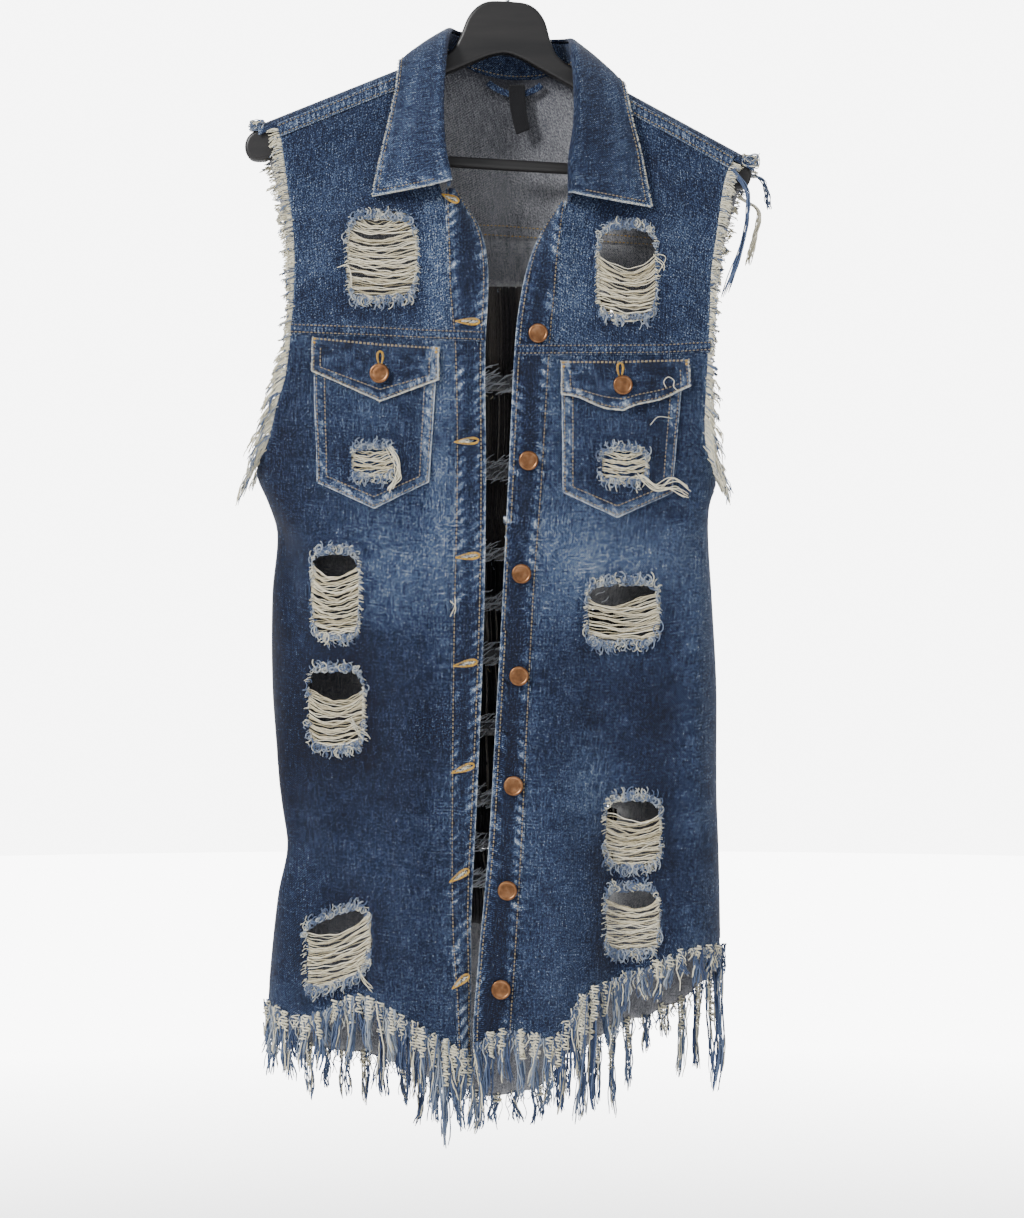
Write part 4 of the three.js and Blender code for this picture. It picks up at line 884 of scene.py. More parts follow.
def backPanel():
    def reach(row, foot, far):
        return lambda z: clipToSide(np.where(z < foot, far, columnAt(armRows[row], 1, -z)), z)

    base = rowsBetween(
        1, lambda x: backSeam(x) + laps["backYoke"], hemZ("back"),
        reach("backLeft", -480, -400.0), reach("backRight", -488, 400.0),
        int(730 / mesh["back"]), int(420 / mesh["back"]),
    )
    x, z = base[..., 0], base[..., 2]
    atSide = 1 - ramp((1 - np.abs(sideShare(x, z))) / laps["sideReach"])
    base[..., 1] -= laps["side"] * atSide * (z < -470)
    bumps = pucker(x, z - backSeam(x), 9.5, 11, 46)
    skins["back"] = skinOf(base, (0, 1, 0), vest["cloth"] + relief(x, z, 1) + 0.7 * bumps)
    slits = slitField(x, z)
    fadeAndShade = washAndShade(x, z, 1, 0.27) + 0.2 * bumps + 0.25 * nearEdges(base, 5, ["bottom"])
    fadeAndShade = fadeAndShade + 0.5 * np.exp(-np.maximum(slits, 0) / 4)
    addCloth("back", skins["back"], vest["cloth"], fadeAndShade, slits)


# Plackets: a doubled strip between its seam and the front edge, rolled back where the neck falls open


def placket(side, upper):
    name = ("placket_upper_" if upper else "placket_lower_") + side
    tall, wide = (140, 30) if upper else (620, 30)
    if side == "left":
        neckTop = lambda x: -232 - 0.55 * np.maximum(x + 53, 0)
    else:
        neckTop = lambda x: -243 - 0.5 * np.maximum(46 - x, 0)
    top = neckTop if upper else (lambda x: yokeSeam(x) - 0.15)
    bottom = (lambda x: yokeSeam(x) + 0.15) if upper else hemZ(side)
    down = np.linspace(0, 1, int(tall / mesh["placket"]))[:, None]
    share = edgedSteps(int(wide / mesh["placket"]), 0.025)[None, :]
    z = lerp(top(seamX(side, -400.0)), bottom(seamX(side, -400.0)), down)
    for _ in range(3):
        x = lerp(seamX(side, z), edgeX(side, z), share)
        z = lerp(top(x), bottom(x), down)
    x = lerp(seamX(side, z), edgeX(side, z), share)
    base = stack(x, clothDepth(x, z, -1) + columnAt(openingRows[side], 3, -z) * share**2, z)
    seed = 51 if side == "left" else 55
    wideAt = runLengths(base, 1)
    fromEdge = wideAt[:, -1:] - wideAt
    bumps = pucker(z + 0.7 * fromEdge, fromEdge - 4.5, 9, 6, seed)
    bumps = bumps + pucker(z - 0.8 * wideAt, wideAt - 4, 10, 5.5, seed + 2)
    rows = 0.45 * (bell(fromEdge - 4.2, 1.3) + bell(wideAt - 2.2, 1.3))  # the stitches pull the cloth in, and darken it below as painted shade in the grooves
    crown = 0.5 * np.sin(np.pi * share) ** 0.5
    lift = vest["doubled"] + relief(x, z, -1) * (1 - 0.4 * share) + 1.0 * bumps - rows + crown - 0.6
    skins[name] = skinOf(base, (0, -1, 0), lift)
    worn = 0.1 * softNoise(z + 90, 3 * wideAt, 6, seed + 5) * (bell(fromEdge - 4, 6) + bell(wideAt - 3, 5))
    # - 0.7 * rows below is painted shade in the stitched grooves
    fadeAndShade = washAndShade(x, z, -1, 0.25 if side == "left" else 0.18) * 0.9 + 1.0 * bumps - 0.15 + worn - 0.7 * rows
    fadeAndShade = fadeAndShade + 0.7 * nearEdges(base, 1.0, ["last"]) + 0.3 * nearEdges(base, 1.0, ["first"])
    fadeAndShade = fadeAndShade + (0.3 * nearEdges(base, 3, ["bottom"]) if not upper else 0)
    addCloth(name, skins[name], vest["doubled"], fadeAndShade, inside=denim)


def surface(x, z, lift, face=-1):
    # a point on the cloth, moved out along the cloth's normal by a lift above the shared relief
    step = 1.0
    slopeX = (clothDepth(x + step, z, face) - clothDepth(x - step, z, face)) / (2 * step)
    slopeZ = (clothDepth(x, z + step, face) - clothDepth(x, z - step, face)) / (2 * step)
    normals = unit(stack(-slopeX, 1, -slopeZ) * face)
    out = np.asarray(lift + relief(x, z, face), float)
    points = stack(x, clothDepth(x, z, face), z) + normals * out[..., None]
    return {"points": points, "normals": normals}


def bandRows(over):
    # two stitched grooves along a felled band: their depth, and the painted shade in them
    return bell(over - 0.17, 0.1) + bell(over - 0.83, 0.1)


def yokeBand(side):
    half = halves[side]
    armAt, frontAt = armX(side, -350.0) - half["lateral"] * 0.8, edgeX(side, -360.0) + half["lateral"] * 0.5
    x = np.linspace(armAt, frontAt, int(abs(armAt - frontAt) / 0.8))[None, :]
    over = np.linspace(0, 1, 11)[:, None]
    z = yokeSeam(x) + lerp(4.5, -5, over)
    onPlacket = ramp((seamX(side, -360.0) + half["lateral"] * 1.5 - x) * half["lateral"] / 2)
    base = lerp(vest["cloth"], vest["doubled"], onPlacket) + vest["lyingGap"] + vest["bandThick"]
    bumps = pucker(x, 9.5 * (over - 0.5), 3.3, 3.2, 61 if side == "left" else 62)
    lift = base + 0.5 * bumps - 0.3 * bandRows(over) - 0.15
    name = "yoke_seam_" + side
    skins[name] = surface(x + 0 * over, z, lift)
    # - 0.1 * bandRows below is painted shade in the stitched grooves
    fadeAndShade = washAndShade(x, z, -1, 0.16) * 0.6 + 0.62 * bumps - 0.1 * bandRows(over)
    fadeAndShade = fadeAndShade + 0.3 * nearEdges(skins[name]["points"], 0.8, ["top", "bottom"])
    addCloth(name, skins[name], vest["bandThick"], fadeAndShade, inside=denim)


def overShoulder(x, along):
    arc = vest["crestRound"] * np.pi / 2
    turn = np.minimum(along, arc) / vest["crestRound"]
    return stack(x, vest["crestRound"] * np.sin(turn), crestZ(x) - vest["crestRound"] * (1 - np.cos(turn)))


def shoulderBand(side):
    half = halves[side]
    start = -67 if side == "left" else 61
    along = np.linspace(-12, -23.5, 9)[:, None]
    tip = armX(side, -200.0)
    for _ in range(6):
        tip = armX(side, crestZ(tip) + along + 5) - half["lateral"] * 1.2
    share = np.linspace(0, 1, 180)[None, :]
    x = lerp(start, tip, share)
    z = crestZ(x) - vest["crestRound"] + along + 14.6
    low = stack(x, clothDepth(x, z, -1), z)
    base = np.where((along > -14.6)[..., None], overShoulder(x, along + 0 * x), low)
    over = (along + 12) / -11.5
    bumps = pucker(x, 11 * (over - 0.5), 4.6, 4, 63 if side == "left" else 64)
    out = vest["cloth"] + vest["lyingGap"] + vest["bandThick"] + 0.5 * bumps
    out = out - 0.3 * bandRows(over) + np.maximum(relief(x, z, -1), 0)
    name = "shoulder_seam_" + side
    skins[name] = skinOf(base, (0, -1, 0.2), out)
    fadeAndShade = 0.16 + 0.58 * bumps + 0.4 * nearEdges(base, 0.9, ["top", "bottom"])
    # painted shade in the stitched grooves
    fadeAndShade = fadeAndShade - 0.1 * bandRows(over)
    addCloth(name, skins[name], vest["bandThick"], fadeAndShade, inside=denim)


# Chest pockets

pocketRows = {
    "left": {
        "pocket": {"x": (-171, -64), "foot": (-167.5, -71), "heel": -487, "tip": (-118, -510)},
        "flap": {"x": (-171.8, -63), "top": (-361.5, -371), "side": (-391.5, -399.5), "tip": (-113, -418)},
        "ruffle": 0.0,
    },
    "right": {
        "pocket": {"x": (42.6, 147), "foot": (43.4, 137.2), "heel": -496, "tip": (90, -518)},
        "flap": {"x": (42, 151.5), "top": (-383, -380.5), "side": (-413.5, -407), "tip": (95, -428)},
        "ruffle": 1.4,
    },
}
pocketLift = vest["cloth"] + vest["lyingGap"]
flapLift = pocketLift + vest["cloth"] + vest["lyingGap"] + 0.3
flapThick = 2


def fromSewnEdges(grid):
    # mm in from the nearest sewn edge of a patch, 40 at most
    return np.minimum(-np.log(nearEdges(grid, 1.0, ["first", "last", "bottom"]) + 1e-9), 40)


def chestPocket(side):
    pocket, flap = pocketRows[side]["pocket"], pocketRows[side]["flap"]
    r, c = edgedSteps(62, 0.005)[:, None], edgedSteps(50, 0.007)[None, :]
    x = lerp(lerp(*pocket["x"], c), lerp(*pocket["foot"], c), r)
    tip, foot = pocket["tip"][0], pocket["foot"]
    reach = np.where(x < tip, tip - foot[0], foot[1] - tip)
    foot = lerp(pocket["tip"][1], pocket["heel"], np.minimum(np.abs(x - pocket["tip"][0]) / reach, 1))
    z = lerp(lerp(*flap["top"], c) - 8.5, foot, r)
    seams = fromSewnEdges(stack(x, 0, z))
    seed = 71 if side == "left" else 75
    bumps = pucker(x + z, seams - 6, 9, 5, seed) + 0.5 * pucker(x - z, seams - 1, 8, 3, seed + 3)
    rows = 0.3 * (bell(seams - 2.2, 0.9) + bell(seams - 9.5, 0.9))
    lift = pocketLift + vest["cloth"] + 0.7 * bumps - rows + 1.4 * ramp((seams - 9) / 16)
    name = "pocket_" + side
    skins[name] = surface(x, z, lift)
    worn = 0.12 * softNoise(x + 300, z, 5, seed + 6) * bell(seams - 6, 7)
    # - 0.7 * rows below is painted shade in the stitched grooves
    fadeAndShade = washAndShade(x, z, -1, 0.27) + 0.75 * bumps - 0.1 + worn - 0.7 * rows + 0.65 * np.exp(-seams / 0.9)
    addCloth(name, skins[name], vest["cloth"], fadeAndShade, tornField(x, z, name), inside=denimInside)


def pocketFlap(side):
    flap, ruffle = pocketRows[side]["flap"], pocketRows[side]["ruffle"]
    r, c = edgedSteps(32, 0.016)[:, None], edgedSteps(66, 0.006)[None, :]
    x = lerp(*flap["x"], c) + 0 * r
    reach = np.where(x < flap["tip"][0], flap["tip"][0] - flap["x"][0], flap["x"][1] - flap["tip"][0])
    corner = np.where(x < flap["tip"][0], flap["side"][0], flap["side"][1])
    low = lerp(flap["tip"][1], corner, np.minimum(np.abs(x - flap["tip"][0]) / reach, 1))
    wave = ruffle * r * r * (1 + np.sin(14 * c))
    z = lerp(lerp(*flap["top"], c), low + wave, r)
    seams = fromSewnEdges(stack(x, 0, z))
    seed = 81 if side == "left" else 85
    bumps = pucker(x + 0.4 * z, seams - 5, 9, 4.5, seed)
    lift = lerp(pocketLift, flapLift, ramp(r / 0.25)) + 0.8 * r * r + wave + flapThick
    rows = 0.3 * (bell(seams - 2, 0.9) + bell(seams - 8, 0.9))
    lift = lift + 0.6 * bumps - rows + 0.8 * np.sin(np.pi * r) * np.sin(np.pi * c)
    name = "flap_" + side
    skins[name] = surface(x, z, lift)
    worn = 0.16 * softNoise(x + 300, 1.6 * z, 7, seed + 6)
    # - 0.7 * rows below is painted shade in the stitched grooves
    fadeAndShade = washAndShade(x, z, -1, 0.26) * 0.85 + 0.75 * bumps - 0.08 + worn - 0.7 * rows + 0.85 * np.exp(-seams / 1.1)
    addCloth(name, skins[name], flapThick, fadeAndShade, inside=denimInside)


# Collar: a stand round the neck and a leaf folded over it

collarRows = np.array([  # station; neck seam x y z; fold x y z; the leaf's outer edge x y z
    [0, -53.5, -29, -234, -52, -48, -229, -120.5, -27, -239],
    [1, -62, -23.5, -205, -58, -46, -200, -115, -24, -212],
    [2, -64, -18, -170, -60, -40, -165, -109, -21, -186],
    [3, -64, -14, -136, -59, -30, -131, -103.5, -19.5, -160],
    [4, -62.5, -8, -112, -57.5, -15, -105, -99, -18, -136],
    [5, -60, 5, -105, -54, 2, -92.5, -97, -3, -117],
    [6, -50, 19, -114.5, -47, 18, -91, -88, 18.5, -127.5],
    [7, -30, 26, -123, -30, 29, -91.5, -66, 22, -143],
    [8, -4, 29, -128.5, -3, 33, -93.5, -5, 35, -154],
    [9, 22, 26, -128.5, 25, 29, -96, 58, 24, -157],
    [10, 45, 19, -124, 44, 18, -98, 84, 20, -144],
    [11, 56, 5, -116.5, 51, 2, -102, 96, -3, -135.5],
    [12, 58, -8, -124, 53, -15, -115, 101, -18.5, -158],
    [13, 58, -14, -150, 54.5, -30, -144, 107, -20.5, -183],
    [14, 57, -18, -184, 54, -40, -178, 112, -21, -204],
    [15, 53, -23.5, -218, 49.5, -46, -212, 116, -24, -226],
    [16, 48.5, -28.5, -246, 49, -49, -240, 120.5, -27, -248.5],
])
leafRows = np.array([  # step; share of the way to the edge, stand-off above the stand, and outside it
    [0, 0, 2.4, -0.6], [1, 0, 2.8, 2.8], [2, 0.07, 1, 4.6], [3, 0.35, 0, 4.6], [4, 0.7, 0, 2.4], [5, 1, 0, 0],
])


def collarAt(key, at):
    first = {"neck": 1, "fold": 4, "edge": 7}[key]
    return stack(*[columnAt(collarRows, first + k, at) for k in range(3)])


def collar():
    at = 16 * edgedSteps(196, 0.002)[None, :]
    fold, neck, edge = (collarAt(key, at) for key in ("fold", "neck", "edge"))
    rise = unit(fold - neck)
    run = unit(collarAt("fold", at + 0.1) - collarAt("fold", at - 0.1))
    out = np.cross(rise, run)
    step = np.concatenate([np.linspace(0, 2, 8)[:-1], np.linspace(2, 4.85, 21), [4.91, 4.96, 5]])[:, None]
    share, up, off = (columnAt(leafRows, k, step)[..., None] for k in (1, 2, 3))
    base = lerp(fold, edge, np.maximum(share, 0)) + rise * up + out * off
    flatStep = np.linalg.norm(edge - fold, axis=-1) * (1 - share[..., 0])  # mm in from the outer edge
    fromEnd = np.minimum(runLengths(base, 1), runLengths(base, 1)[:, -1:] - runLengths(base, 1))
    seams = np.minimum(flatStep, fromEnd)
    along = at * 22 + 0 * step
    bumps = pucker(along + 0.5 * flatStep, seams - 5, 10, 4.5, 91)
    soft = 0.9 * softNoise(along, 3 * step, 34, 92) * ramp(flatStep / 12)
    soft = soft + 0.5 * softNoise(along, 12 * step, 15, 93)
    lift = vest["doubled"] / 2 + 0.55 * bumps + 0.7 * soft * ramp((step - 1.5) / 1.5)
    lift = lift - 0.35 * bell(seams - 4.2, 1.0) + 0.6 * ramp((seams - 4) / 10)
    middle = out[0, out.shape[1] // 2]
    skins["collar_leaf"] = skinOf(base, middle, lift)
    # 0.12 * bell(flatStep - 26, 12) below is a painted highlight along the leaf, about 26 mm in from its outer
    # edge
    fadeAndShade = 0.1 + 0.05 * softNoise(along, 12 * step, 24, 94) + 0.42 * bumps + 0.12 * bell(flatStep - 26, 12)
    # - 0.1 * bell(seams - 4.2, 1.2) below is painted shade in the stitched groove
    fadeAndShade = fadeAndShade + 0.75 * np.exp(-seams / 1.0) + 0.12 * bell(step - 1.4, 0.5) - 0.1 * bell(seams - 4.2, 1.2)
    fadeAndShade = fadeAndShade + 0.1 * softNoise(along, 30 * step, 6, 99) * bell(seams - 5, 9)
    addCloth("collar_leaf", skins["collar_leaf"], vest["doubled"], fadeAndShade, inside=denim)
    at = np.linspace(0.12, 15.88, 150)[None, :]
    up = np.linspace(0, 1, 10)[:, None, None]
    stand = lerp(collarAt("neck", at), collarAt("fold", at), up)
    flatAlong = at * 20 + 0 * up[..., 0]
    bumps = pucker(flatAlong, 30 * (up[..., 0] - 0.12), 9, 6, 95)
    skins["collar_stand"] = skinOf(stand, -middle, vest["doubled"] / 2 + 0.3 * bumps)
    fadeAndShade = 0.16 + 0.05 * softNoise(flatAlong, 9 * up[..., 0], 8, 96) + 0.2 * bumps
    addCloth("collar_stand", skins["collar_stand"], vest["doubled"], fadeAndShade, inside=denim)


for side in halves:
    frontPanel(side, True)
    frontPanel(side, False)
    placket(side, True)
    placket(side, False)
    yokeBand(side)
    shoulderBand(side)
    chestPocket(side)
    pocketFlap(side)
backYoke()
backPanel()
collar()
print("cloth pieces:", len(cutSizes))

# Yarns: tubes of three or four sides along many paths at once


def tubes(paths, radius, tint, sides=3):
    # a ring at each step, carried along the path without twisting, and a cap at each end
    count, steps = paths.shape[:2]
    run = unit(np.gradient(paths, axis=1))
    side = np.empty_like(paths)
    start = np.cross(run[:, 0], (0.31, 0.9, 0.22))
    side[:, 0] = unit(start)
    for s in range(1, steps):
        turned = np.sum(side[:, s - 1] * run[:, s], axis=-1, keepdims=True)
        side[:, s] = unit(side[:, s - 1] - run[:, s] * turned)
    up = np.cross(run, side)
    turn = 2 * np.pi * np.arange(sides) / sides
    radius = np.asarray(radius, float).reshape(-1, 1) if np.ndim(radius) == 1 else radius
    radius = np.broadcast_to(radius, (count, steps))
    ring = side[:, :, None] * np.cos(turn)[:, None] + up[:, :, None] * np.sin(turn)[:, None]
    points = paths[:, :, None] + ring * radius[..., None, None]
    index = np.arange(count * steps * sides).reshape(count, steps, sides)
    after = np.roll(index, -1, axis=2)
    quads = np.stack([index[:, :-1], after[:, :-1], after[:, 1:], index[:, 1:]], axis=-1).reshape(-1, 4)
    caps = [index[:, 0, ::-1], index[:, -1]]
    tints = np.broadcast_to(np.asarray(tint, float).reshape(-1, 1), (count, steps))[..., None] + np.zeros(sides)
    return points.reshape(-1, 3), quads, np.concatenate(caps), tints.reshape(-1)


def addYarns(name, sets, material, slotName, nodes=()):
    points, faces, tints, first = [], [], [], 0
    for part in sets:
        p, quads, caps, tint = tubes(*part)
        points.append(p)
        tints.append(tint)
        faces += (quads + first).tolist() + (caps + first).tolist()
        first += len(p)
    mesh = newMesh(name, np.concatenate(points), faces, [material])
    addAttribute(mesh, "tint", np.concatenate(tints))
    return addObject(name, mesh, slotName, *nodes)


def alongLine(line, share):
    run = runLengths(line[None], 1)[0]
    return readLine(np.asarray(share) * run[-1], run, line)


# Loose weft across each torn window


def skinUnder(rip):
    # how far out the torn cloth's middle lies, so that its weft stays in its plane
    return {"pocket": pocketLift + 0.9}.get(rip[1].split("_")[0], 0.6)


def windowShare(u):
    # how far a torn window reaches at a share of its other half size: a rounded box
    return (1 - np.minimum(np.abs(u), 0.995) ** ripPower) ** (1 / ripPower)


def onCloth(x, z, out, face=-1):
    skin = surface(x, z, 0, face)
    return skin["points"] + skin["normals"] * np.asarray(out)[..., None]


def weftOf(rip, seed):
    # yarns held at both sides at even heights; between them they sag, bunch together and leave gaps
    name, panel, x0, drop, wide, tall, gap, slant = rip
    dice = np.random.default_rng(seed)
    height = 2 * tall - gap
    count = int(height / 0.8)
    t = np.linspace(-1, 1, 21)[None, :]
    level = np.linspace(0.01, 0.99, count)[:, None]
    place = tall - gap - level * height + dice.uniform(-0.7, 0.7, (count, 1)) + 3 * (gap < 8) * (1 - level)
    lean = 0.8 * softNoise(level * 40, seed, 13, seed)
    sag = (1.8 + 0.05 * height) * (1.25 - level) * (1 + 0.05 * gap)
    sag = sag + 1.6 * softNoise(level * 40, 1, 6, seed + 1)
    sag = sag + dice.uniform(-0.5, 0.9, (count, 1)) + 5 * (dice.uniform(0, 1, (count, 1)) < 0.07)
    bunch = 1.5 * np.sin(2 * np.pi * place / 7.4 + 1.7 * np.sin(1.8 * t + seed)) * (1 - t**6)
    wander = 0.9 * softNoise(9 * t + 60, 55 * level, 5, seed + 2) * (1 - t**4)
    ripple = np.sin(dice.uniform(8, 15, (count, 1)) * t + dice.uniform(0, 6.3, (count, 1)))
    wander = wander + 0.5 * ripple * (1 - t**6)
    z = place - sag * (1 - t**2) * (1 + lean * t) + bunch + wander
    z = np.maximum(z, -tall - 1 + 0.6 * np.sin(9 * t + place))
    x = x0 + wide * 1.05 * windowShare(np.clip(place / tall, -0.97, 0.97)) * t
    out = skinUnder(rip) + dice.uniform(-2.2, 0.9, (count, 1)) * (1 - t**6) + 1.2 * (1 - t**2)
    paths = onCloth(x, z - drop + slant * (x - x0), out)
    return paths, dice.uniform(0.33, 0.52, count), dice.uniform(0.55, 0.98, count)


def curlsOf(rip, seed):
    # warp ends left by the tear: small loops that lie on the cloth in a band over its top and bottom edges
    name, panel, x0, drop, wide, tall, gap, slant = rip
    dice = np.random.default_rng(seed + 500)
    count = int(6.5 * wide)
    s = np.linspace(0, 1, 9)[None, :]
    sign = dice.choice([-1, 1], (count, 1))
    across = dice.uniform(-1.04, 1.04, (count, 1))
    edge = sign * tall * windowShare(across) + 1.6 * softNoise(20 * across, 3 * sign, 5, seed)
    long = dice.uniform(1, 10.5, (count, 1))
    loop = dice.uniform(0.9, 2.4, (count, 1))
    phase = dice.uniform(0, 2 * np.pi, (count, 1))
    turn = 2 * np.pi * dice.uniform(0.7, 1.7, (count, 1)) * s * dice.choice([-1, 1], (count, 1)) + phase
    x = x0 + wide * across + dice.uniform(-3, 3, (count, 1)) * s + loop * np.sin(turn)
    z = edge + sign * (long * s - 3.5) - 0.8 * s + loop * np.cos(turn)
    out = skinUnder(rip) + 1.0 + np.sin(np.pi * s) * dice.uniform(0.3, 2.6, (count, 1))
    paths = onCloth(x, z - drop + slant * (x - x0), out)
    curls = (paths, dice.uniform(0.42, 0.66, count), dice.uniform(0.36, 0.82, count))
    stubs = int(2.6 * tall)
    side = dice.choice([-1, 1], (stubs, 1))
    rise = dice.uniform(-0.96, 0.96, (stubs, 1))
    s = np.linspace(0, 1, 4)[None, :]
    x = x0 + side * (wide * windowShare(rise) - 1.5 + dice.uniform(1, 5, (stubs, 1)) * s)
    z = tall * rise - 2.5 * s * s * dice.uniform(0, 1, (stubs, 1)) + dice.uniform(-0.8, 0.8, (stubs, 1)) * s
    out = skinUnder(rip) + 1.1 + 0.7 * np.sin(np.pi * s)
    paths = onCloth(x, z - drop + slant * (x - x0), out)
    ticks = (paths, dice.uniform(0.24, 0.4, stubs), dice.uniform(0.68, 0.95, stubs))
    return [curls, ticks]


for number, rip in enumerate(ripRows):
    seed = 200 + number
    weft = addYarns(rip[0], [weftOf(rip, seed)], creamWeft, "yarn", [rip[0]])
    ends = addYarns("torn_ends" + rip[0][3:], curlsOf(rip, seed), looseYarn, "yarn")
    extras.setdefault(rip[1], []).extend([weft, ends])
print("weft laid")

# Frayed hem: heavy locks rooted in the raw edge, with cream weft still hooked round them

hemReach = {
    "left": np.array([
        [-214, 44], [-195, 50], [-180, 53], [-160, 44], [-142, 56], [-128, 48], [-112, 70],
        [-90, 60], [-70, 84], [-58, 88], [-46, 64], [-36, 60],
    ]),
    "right": np.array([
        [-33, 66], [-10, 62], [12, 56], [30, 60], [46, 70], [56, 92], [70, 120], [82, 70],
        [96, 40], [130, 32], [182, 30],
    ]),
    "back": np.array([
        [-214, 44], [-150, 48], [-100, 44], [-60, 50], [-20, 34], [20, 30], [50, 60],
        [90, 90], [108, 56], [140, 30], [152, 70], [164, 104], [184, 100],
    ]),
}


def alongCores(cores, along):
    # the place on each lock's core, a number of steps from its root
    i = np.clip(along.astype(int), 0, cores.shape[1] - 2)
    f = (along - i)[..., None]
    lock = np.arange(len(cores)).reshape(-1, *[1] * (along.ndim - 1))
    return cores[lock, i] * (1 - f) + cores[lock, i + 1] * f


def bundle(cores, count, wide, deep, radius, tint, dice, turns=0.7, splay=0.35, shortest=0.62):
    # strands side by side in a flat lock that twists slowly; each has its own waves and its own length
    locks, steps = cores.shape[:2]
    t = np.linspace(0, 1, steps)
    across, through = dice.uniform(-1, 1, (2, locks, count, 1))
    turn = np.pi * turns * t * dice.uniform(-1, 1, (locks, 1, 1)) + dice.uniform(-0.5, 0.5, (locks, 1, 1))
    spread = 1 - 0.3 * np.sin(np.pi * np.clip(t * 1.2, 0, 1)) + splay * t * t
    a, b = wide / 2 * across * spread, deep / 2 * through * spread
    kink = dice.uniform(0, 2 * np.pi, (3, locks, count, 1))
    wavy = np.minimum(5 * t, 1)
    swayX = wavy * (0.8 * np.sin(8 * t + kink[0]) + 0.3 * np.sin(25 * t + kink[1]))
    swayY = wavy * (0.7 * np.sin(9 * t + kink[2]) + 0.3 * np.cos(22 * t + kink[0]))
    x = a * np.cos(turn) - b * np.sin(turn) + swayX
    y = a * np.sin(turn) + b * np.cos(turn) + swayY
    along = t * dice.uniform(shortest, 1.04, (locks, count, 1)) * (steps - 1)
    paths = alongCores(cores, along) + np.stack([x, y, 0 * x], axis=-1)
    total = locks * count
    taper = np.clip((1.04 - t) * 14, 0.5, 1)
    sizes = dice.uniform(0.75, 1.25, (total, 1)) * radius * taper
    return paths.reshape(total, steps, 3), sizes, np.broadcast_to(tint, (locks, count)).reshape(total)


def crinkles(cores, share, wide, face, radius, dice):
    # a cream yarn that winds down the front of a lock in tight loops, from its root to a share of its length
    locks, steps = cores.shape[:2]
    t = np.linspace(0, 1, 58)
    long = np.linalg.norm(cores[:, -1] - cores[:, 0], axis=-1)[:, None] * share
    centre = alongCores(cores, t * share * (steps - 1))
    turn = 2 * np.pi * long / 2.5 * t + dice.uniform(0, 6.3, (locks, 1))
    uneven = 0.75 + 0.4 * np.sin(turn * 0.23 + dice.uniform(0, 6.3, (locks, 1)))
    x = wide / 2 * uneven * np.sin(turn) + dice.uniform(-1.6, 1.6, (locks, 1))
    y = face * (1.9 + 0.9 * np.cos(turn)) + 0 * x
    z = 0.7 * np.sin(turn * 0.5) + 0.8
    sizes = radius * dice.uniform(0.85, 1.15, locks)
    return centre + np.stack([x, y, z], axis=-1), sizes, dice.uniform(0.8, 0.98, locks)


def hemFringe(name, edge, count, reachKey, short, seed):
    dice = np.random.default_rng(seed)
    number = np.arange(count)
    share = (number + 0.5) / count
    face = np.sign(edge[0, 1])
    roots = alongLine(edge, share) + np.array([0, face * 0.5, 2.2])
    turnOf = (number * (7 if short == 0.16 else 5)) % 3
    long = columnAt(hemReach[reachKey], 1, roots[:, 0]) * (1 - short * turnOf) + 2.2
    t = np.linspace(0, 1, 13)[None, :]
    n = number[:, None]
    sway = stack(2.2 * np.sin(n * 1.7 + 2 * t) * t, 1.6 * np.sin(n * 2.3) * t, 0)
    curve = stack(2.6 * np.sin(3.4 * t + n * 2.1) * t, 0.8 * np.sin(3.2 * t + n) * t, 0)
    cores = roots[:, None] + stack(0, 0, -long[:, None] * t) + sway + curve
    strands = 13 if reachKey == "back" else 16
    tone = dice.uniform(0.28, 0.58, (count, 1)) + dice.uniform(-0.16, 0.16, (count, strands))
    tone = np.where(dice.uniform(0, 1, (count, strands)) < 0.13, 0.88, tone)
    blues = bundle(cores, strands, 11, 5, 0.64, tone, dice, 0.8, 0, 0.78)
    sets = [blues]
    for part in range(2):
        chosen = dice.uniform(0, 1, count) < (0.72, 0.4)[part]
        shares = dice.uniform(0.22, 0.5, (chosen.sum(), 1))
        moved = cores[chosen] + dice.uniform(-2.6, 2.6, (chosen.sum(), 1, 1)) * np.array([1, 0, 0])
        sets.append(crinkles(moved, shares, 6.2, face, 0.78, dice))
    fine = count * (12 if reachKey == "back" else 18)
    at = alongLine(edge, dice.uniform(0, 1, fine)) + np.array([0, face * 0.6, 1.2])
    s = np.linspace(0, 1, 6)[None, :]
    length = dice.uniform(4, 15, (fine, 1)) + (dice.uniform(0, 1, (fine, 1)) < 0.12) * 16
    kink = dice.uniform(0, 6.3, (fine, 3))
    loose = stack(
        at[:, :1] + 1.9 * np.sin(6 * s + kink[:, :1]) * np.minimum(3 * s, 1),
        at[:, 1:2] + face * (0.6 + 2.2 * np.sin(np.pi * s) * dice.uniform(0.2, 1, (fine, 1))),
        at[:, 2:] - length * s + 1.4 * np.sin(7 * s + kink[:, 1:2]) * s,
    )
    pale = np.where(dice.uniform(0, 1, fine) < 0.4, 0.84, 0.42)
    sets.append((loose, dice.uniform(0.3, 0.55, fine), pale + dice.uniform(-0.16, 0.1, fine)))
    return addYarns(name, sets, looseYarn, "yarn", [name])


for side in halves:
    fromPlacket = skins["placket_lower_" + side]["points"][-1][::-1]
    edge = np.concatenate([fromPlacket[:-1], skins["front_" + side]["points"][-1]])
    fringe = hemFringe("hem_fringe_" + side, edge, 22, side, 0.16, 300 + halves[side]["lateral"])
    extras.setdefault("front_" + side, []).append(fringe)
extras["back"] = [hemFringe("hem_fringe_back", skins["back"]["points"][-1], 28, "back", 0.14, 310)]
print("hem fringe hung")

